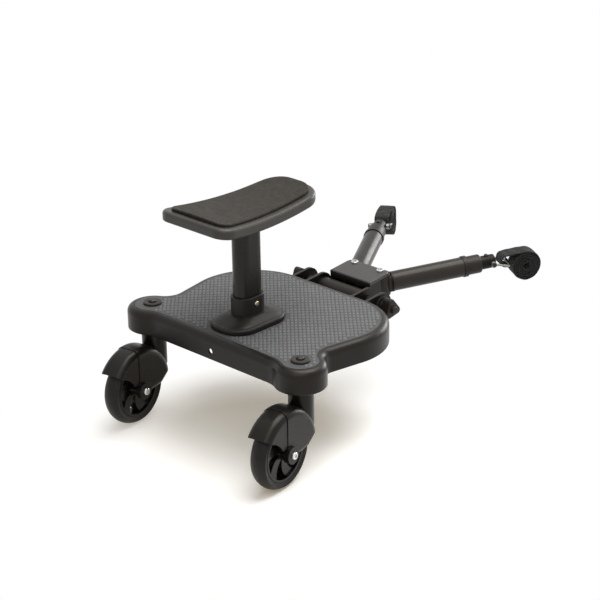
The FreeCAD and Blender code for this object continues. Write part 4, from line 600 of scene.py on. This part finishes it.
def woven(name, dark):
    """Brushed webbing of a colour."""
    material, tree, main = new_finish(name)
    counts = (STRAP_WIDTH / WEAVE_UNIT, STRAP_LENGTH / WEAVE_UNIT, 1)
    across, along = yarn_waves(tree, "X", counts), yarn_waves(tree, "Y", counts)
    weave = math_node(tree, "MULTIPLY", across, along)
    nap = speckle(tree, NAP, detail=4)
    lint = spread(tree, speckle(tree, LINT, detail=6), *LINT_SHARES, *LINT_RANGE)
    colour = shades(tree, nap, dark, NAP_SHADES)
    plug(tree, main["Base Color"], mix(tree, lint, colour, paint(dark, LINT_SHADE)))
    plug(tree, main["Roughness"], spread(tree, nap, *NAP_GLOSS))
    plug(tree, main["Sheen Weight"], WEBBING_SHEEN)
    plug(tree, main["Sheen Roughness"], WEBBING_SHEEN_SPREAD)
    plug(tree, main["Specular IOR Level"], WEBBING_SHINE)
    height = math_node(tree, "ADD", weave, math_node(tree, "MULTIPLY", nap, NAP_RISE))
    plug(tree, main["Normal"], add(tree, "Bump", Height=height, Distance=WEAVE_DEPTH))
    return material


FINISHES["webbing"] = woven("webbing", dark=(0.0205, 0.0195, 0.0190))
print("webbing ready")

# %% [markdown]
# ## Dress the parts
#
# The record names a material slot for each part, so a short loop hands out the finishes. Some
# parts differ from the others of their slot, and these are written out: the deck and the wheel
# hoods are a shade darker than the hub, the seat's socket is more matt than its post, the pan is
# paler, the inner tubes are duller than the outer ones, and the loops, the lock buttons, the pins
# and the stem bolts have their own plating. The mat itself takes the darker gap finish, a painted
# shade for the floor between its studs, which come next.

# %% Hand out the finishes
SIDES = ("left", "right")
SPECIAL = {"deck_shell": "deck", "seat_socket": "socket", "seat_pan": "pan", "grip_mat": "gap"}
for side in SIDES:
    SPECIAL["bail_" + side] = "wire"
    for kind in ("fork_", "fender_"):
        SPECIAL[kind + side] = "hood"
    for kind in ("inner_tube_", "tube_plug_"):
        SPECIAL[kind + side] = "slider"
    for kind in ("stem_bolt_", "lock_button_", "bail_pin_", "root_pin_"):
        SPECIAL[kind + side] = "dark_bolt"
for part in frame["record"]["subparts"]:
    name = part["node"]
    finish = FINISHES[SPECIAL.get(name, part["material_slot"])]
    slots = NODES[name].material_slots
    if slots:
        slots[0].material = finish
    else:
        NODES[name].data.materials.append(finish)

# %% [markdown]
# ## Grip studs
#
# The mat has a grid of small oblong studs, turned by an eighth of a turn to the deck. A texture
# could fake them, but they catch the light and can be felt, so they are modelled. The start is a
# grid with one face for each stud, cut back to the mat's own outline less a plain margin. Rays
# dropped on the mat tell which faces lie on it.

# %% Find the mat
STUD_RISE = 0.6 * MM
STUD_MARGIN = 4.6 * MM
RING_STEPS = 12
DOWN = Vector((0, 0, -1))

mat_low, mat_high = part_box("grip_mat")


def on_mat(spot):
    """Whether the mat lies under a spot and all around it, out to the margin."""
    for step in range(RING_STEPS + 1):
        turn = FULL_TURN * step / RING_STEPS
        radius = STUD_MARGIN if step < RING_STEPS else 0
        aside = Vector((radius * math.cos(turn), radius * math.sin(turn), 0))
        start = Vector((spot.x, spot.y, mat_high.z + STUD_RISE)) + aside
        if not NODES["grip_mat"].ray_cast(start, DOWN, distance=2 * STUD_RISE)[0]:
            return False
    return True


print("top of the mat at %.1f mm" % (mat_high.z / MM))

# %% Cut the stud sheet
STUD_PITCH = 5.7 * MM
STUD_LENGTH = 9.8 * MM
STUD_TURN = 45
SHEET_LIFT = 0.05 * MM

mat_middle = (mat_low + mat_high) / 2
sheet_side = (mat_high - mat_low).length
bpy.ops.object.select_all(action="DESELECT")
bpy.ops.mesh.primitive_grid_add(
    x_subdivisions=round(sheet_side / STUD_PITCH), y_subdivisions=round(sheet_side / STUD_LENGTH),
    size=sheet_side,
    location=(mat_middle.x, mat_middle.y, mat_high.z + SHEET_LIFT),
    rotation=(0, 0, math.radians(STUD_TURN)))
studs = bpy.context.object
studs.name = "grip_studs"
bpy.ops.object.transform_apply(location=True, rotation=True, scale=True)
bpy.ops.object.mode_set(mode="EDIT")
bpy.ops.mesh.select_mode(type="FACE")
bpy.ops.mesh.select_all(action="DESELECT")
bpy.ops.object.mode_set(mode="OBJECT")
for face in studs.data.polygons:
    face.select = not on_mat(face.center)
bpy.ops.object.mode_set(mode="EDIT")
bpy.ops.mesh.delete(type="FACE")
bpy.ops.object.mode_set(mode="OBJECT")
print("cells on the mat:", len(studs.data.polygons))

# %% [markdown]
# A flat sheet would show a paper edge. So its open rim is pulled down into the mat and closed,
# which makes the sheet one solid, and then every cell is inset twice, the second time with a
# rise, so the studs get sloping sides. The faces that stay low take the darker gap finish, which
# is painted shade between the studs.

# %% Raise the studs
SHEET_SINK = 0.8 * MM
STUD_GAP = 0.85 * MM
FLAT = 0.9

bpy.ops.object.mode_set(mode="EDIT")
bpy.ops.mesh.select_all(action="SELECT")
bpy.ops.mesh.region_to_loop()
bpy.ops.mesh.extrude_region_move(TRANSFORM_OT_translate={"value": (0, 0, -SHEET_SINK)})
bpy.ops.mesh.fill(use_beauty=False)
bpy.ops.mesh.select_all(action="SELECT")
bpy.ops.mesh.normals_make_consistent(inside=False)
bpy.ops.mesh.select_all(action="DESELECT")
bpy.ops.object.mode_set(mode="OBJECT")
count = 0
for face in studs.data.polygons:
    face.select = len(face.vertices) == 4 and face.normal.z > FLAT
    count += face.select
bpy.ops.object.mode_set(mode="EDIT")
bpy.ops.mesh.inset(thickness=STUD_GAP, depth=0, use_individual=True)
bpy.ops.mesh.inset(thickness=STUD_GAP / 2, depth=STUD_RISE, use_individual=True)
bpy.ops.object.mode_set(mode="OBJECT")
studs.data.materials.append(FINISHES["mat"])
studs.data.materials.append(FINISHES["gap"])
# Low faces take the darker gap finish, a painted shade between the studs.
for face in studs.data.polygons:
    face.material_index = 0 if face.center.z > mat_high.z + STUD_RISE / 2 else 1
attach(studs, "deck")
print("studs:", count)

# %% [markdown]
# ## Seat slab
#
# The seat is covered by a thin slab of moulded foam, crowned across and swept up with the pan
# under it. Pressing it out with a cloth simulation would make a pillow of it, which it isn't. So
# the plain slab is copied and merged, rebuilt in small even faces by a voxel remesh, relaxed so
# that its cut edge turns soft, and drawn in along its foot with a proportional resize.

# %% Copy the plain slab
MERGE = 0.01 * MM


def copy_of(node, name):
    """A new piece with its own merged copy of a part's mesh, alone and selected."""
    bpy.ops.object.select_all(action="DESELECT")
    piece = bpy.data.objects.new(name, NODES[node].data.copy())
    bpy.context.scene.collection.objects.link(piece)
    bpy.context.view_layer.objects.active = piece
    piece.select_set(True)
    bpy.ops.object.mode_set(mode="EDIT")
    bpy.ops.mesh.select_all(action="SELECT")
    bpy.ops.mesh.remove_doubles(threshold=MERGE)
    bpy.ops.object.mode_set(mode="OBJECT")
    return piece


slab = copy_of("seat_pad", "seat_slab")
print("plain slab has", len(slab.data.polygons), "faces")

# %% Soften the slab
SLAB_VOXEL = 1.0 * MM
SLAB_RELAX = 3
SLAB_RELAX_SHARE = 0.5
SLAB_FOOT = -0.6
SLAB_DRAW_IN = 0.985
SLAB_SOFT = 5 * MM

slab.data.remesh_voxel_size = SLAB_VOXEL
bpy.ops.object.voxel_remesh()
relax = slab.modifiers.new("relax", "SMOOTH")
relax.factor = SLAB_RELAX_SHARE
relax.iterations = SLAB_RELAX
bpy.ops.object.modifier_apply(modifier="relax")
for vertex in slab.data.vertices:
    vertex.select = vertex.normal.z < SLAB_FOOT
bpy.ops.object.mode_set(mode="EDIT")
bpy.ops.mesh.select_mode(type="VERT")
bpy.ops.transform.resize(value=(SLAB_DRAW_IN, SLAB_DRAW_IN, 1), use_proportional_edit=True,
                         proportional_size=SLAB_SOFT, proportional_edit_falloff="SMOOTH")
bpy.ops.object.mode_set(mode="OBJECT")
bpy.ops.object.shade_smooth()
slab.data.materials.clear()
slab.data.materials.append(FINISHES["foam"])
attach(slab, "deck")
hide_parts("seat_pad")
print("slab faces:", len(slab.data.polygons))

# %% [markdown]
# ## Rolled straps
#
# Each arm ends in a wire loop with a strap rolled up on it. A strap is flat webbing, so it starts
# as a long flat grid whose map already runs along and across it. Rolling it up in a cloth
# simulation would be slow and would never lie as tight as a hand rolls it, so its route is drawn
# first: half circles that grow into a roll, a fold just short of the wire, and a turn around it.

# %% Sizes of the roll
STRAP_THICK = 2.2 * MM
ROLL_CORE = 6.9 * MM
ROLL_STEP = 1.5 * MM
ROLL_HALF_TURNS = 12
ROLL_AHEAD = 58.4 * MM
FOLD_RADIUS = 6.5 * MM
FOLD_AHEAD = 20.0 * MM
FOLD_RISE = 7.5 * MM
WIRE_RADIUS = 1.8 * MM
WIRE_AHEAD = 28.6 * MM
WRAP_GAP = 0.5 * MM
WRAP_RADIUS = WIRE_RADIUS + WRAP_GAP + STRAP_THICK / 2
WRAP_END = 420
TAIL = 4.0 * MM
print("wrap radius around the wire %.1f mm" % (WRAP_RADIUS / MM))

# %% Draw the route
STEP = 1.0 * MM
FEWEST_STEPS = 2


def on_circle(middle, radius, angle):
    """Spot on a circle at an angle in degrees."""
    turn = math.radians(angle)
    return middle + Vector((math.cos(turn), math.sin(turn))) * radius


def strap_route():
    """Middle line of the strap, as points ahead of and above the pin, from the core of the roll."""
    route = []

    def arc(middle, radius, first, last):
        """Adds points from one angle up to the next, both in degrees."""
        count = max(FEWEST_STEPS, math.ceil(math.radians(last - first) * radius / STEP))
        for part in range(count):
            route.append(on_circle(middle, radius, first + (last - first) * part / count))

    radius, level = ROLL_CORE, ROLL_CORE
    for half_turn in range(ROLL_HALF_TURNS - 1):
        rising = half_turn % 2
        middle = Vector((ROLL_AHEAD, level + radius if rising else level - radius))
        arc(middle, radius, 90 + 180 * half_turn, 270 + 180 * half_turn)
        level = middle.y + radius if rising else middle.y - radius
        radius += ROLL_STEP
    middle = Vector((ROLL_AHEAD, level + radius))
    fold_high = Vector((FOLD_AHEAD, FOLD_RISE))
    fold_low = Vector((FOLD_AHEAD, FOLD_RADIUS - WRAP_RADIUS))
    apart = middle - fold_high
    lean = math.acos((FOLD_RADIUS - radius) / apart.length)
    leave = math.degrees(math.atan2(apart.y, apart.x) + lean)
    arc(middle, radius, -90, leave)
    arc(fold_high, FOLD_RADIUS, leave, 180)
    arc(fold_low, FOLD_RADIUS, 180, 270)
    wire = Vector((WIRE_AHEAD, 0))
    arc(wire, WRAP_RADIUS, 270, WRAP_END)
    end = on_circle(wire, WRAP_RADIUS, WRAP_END)
    onward = on_circle(Vector((0, 0)), 1, WRAP_END + 90)
    route.extend([end, end + onward * TAIL])
    return route


ROUTE = strap_route()
RUN = [0.0]
for before, after in zip(ROUTE, ROUTE[1:]):
    RUN.append(RUN[-1] + (after - before).length)
print("strap length %.0f mm" % (RUN[-1] / MM))

# %% [markdown]
# The route is drawn flat, as distances ahead of and above a pin. Each wire loop needs its own axes
# to stand it up on. They could be typed in, but the frame's joints already hold the pins and the
# directions of the arms, so both straps can follow the one route, tipped down by the droop of
# their loops.

# %% Place the route
LOOP_DROOP = 16.3


def along_route(distance):
    """Spot at a distance along the strap's route."""
    number = 1
    while number < len(RUN) - 1 and RUN[number] < distance:
        number += 1
    share = (distance - RUN[number - 1]) / (RUN[number] - RUN[number - 1])
    return ROUTE[number - 1].lerp(ROUTE[number], share)


def loop_axes(side):
    """Pin, and the axes across, ahead of and above a drooping wire loop."""
    swing = JOINTS["bail_%s_swing" % side]
    pin = Vector(swing["pos_m"])
    across = Vector(swing["axis"])
    droop = Matrix.Rotation(math.radians(-LOOP_DROOP), 3, across)
    ahead = droop @ Vector(JOINTS["arm_%s_extend" % side]["axis"])
    return pin, across, ahead, across.cross(ahead)


for side in SIDES:
    print("loop on the", side, "swings on", loop_axes(side)[0])

# %% [markdown]
# Every row of the flat grid is carried to its place on the route. The rows wander sideways a
# little, as in a strap rolled by hand, and the strap swells and sinks along its length. Solidify
# gives the thickness, and a subdivision rounds the woven edges.

# %% Bend a flat strap
STRAP_ROWS = 330
STRAP_COLUMNS = 8
WANDER = 0.7 * MM
WANDER_RUN = 61 * MM
RIPPLE = 0.25 * MM
RIPPLE_RUN = 17 * MM
RIPPLE_LEAN = 4


def bent_strap(side):
    """A flat grid, bent row by row along the route of one arm's strap."""
    bpy.ops.object.select_all(action="DESELECT")
    bpy.ops.mesh.primitive_grid_add(x_subdivisions=STRAP_COLUMNS, y_subdivisions=STRAP_ROWS, size=1)
    strap = bpy.context.object
    strap.name = "webbing_" + side
    pin, across, ahead, above = loop_axes(side)
    for vertex in strap.data.vertices:
        distance = (vertex.co.y + 0.5) * RUN[-1]
        spot = along_route(distance)
        aside = vertex.co.x * STRAP_WIDTH + WANDER * math.sin(distance / WANDER_RUN * FULL_TURN)
        swell = RIPPLE * math.sin(distance / RIPPLE_RUN * FULL_TURN + vertex.co.x * RIPPLE_LEAN)
        vertex.co = pin + ahead * spot.x + above * (spot.y + swell) + across * aside
    return strap


print("grid of", STRAP_COLUMNS, "by", STRAP_ROWS, "faces for each strap")

# %% Wind the straps
def wind_strap(side):
    """The strap of one arm, wound on its loop."""
    strap = bent_strap(side)
    thick = strap.modifiers.new("thickness", "SOLIDIFY")
    thick.thickness = STRAP_THICK
    thick.offset = 0
    soft = strap.modifiers.new("soft_edges", "SUBSURF")
    soft.levels = 1
    soft.render_levels = 1
    for name in ("thickness", "soft_edges"):
        bpy.ops.object.modifier_apply(modifier=name)
    bpy.ops.object.mode_set(mode="EDIT")
    bpy.ops.mesh.select_all(action="SELECT")
    bpy.ops.mesh.normals_make_consistent(inside=False)
    bpy.ops.object.mode_set(mode="OBJECT")
    bpy.ops.object.shade_smooth()
    strap.data.materials.append(FINISHES["webbing"])
    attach(strap, "loop_" + side)
    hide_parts("strap_" + side)
    return strap


for side in SIDES:
    print(wind_strap(side).name, "wound")
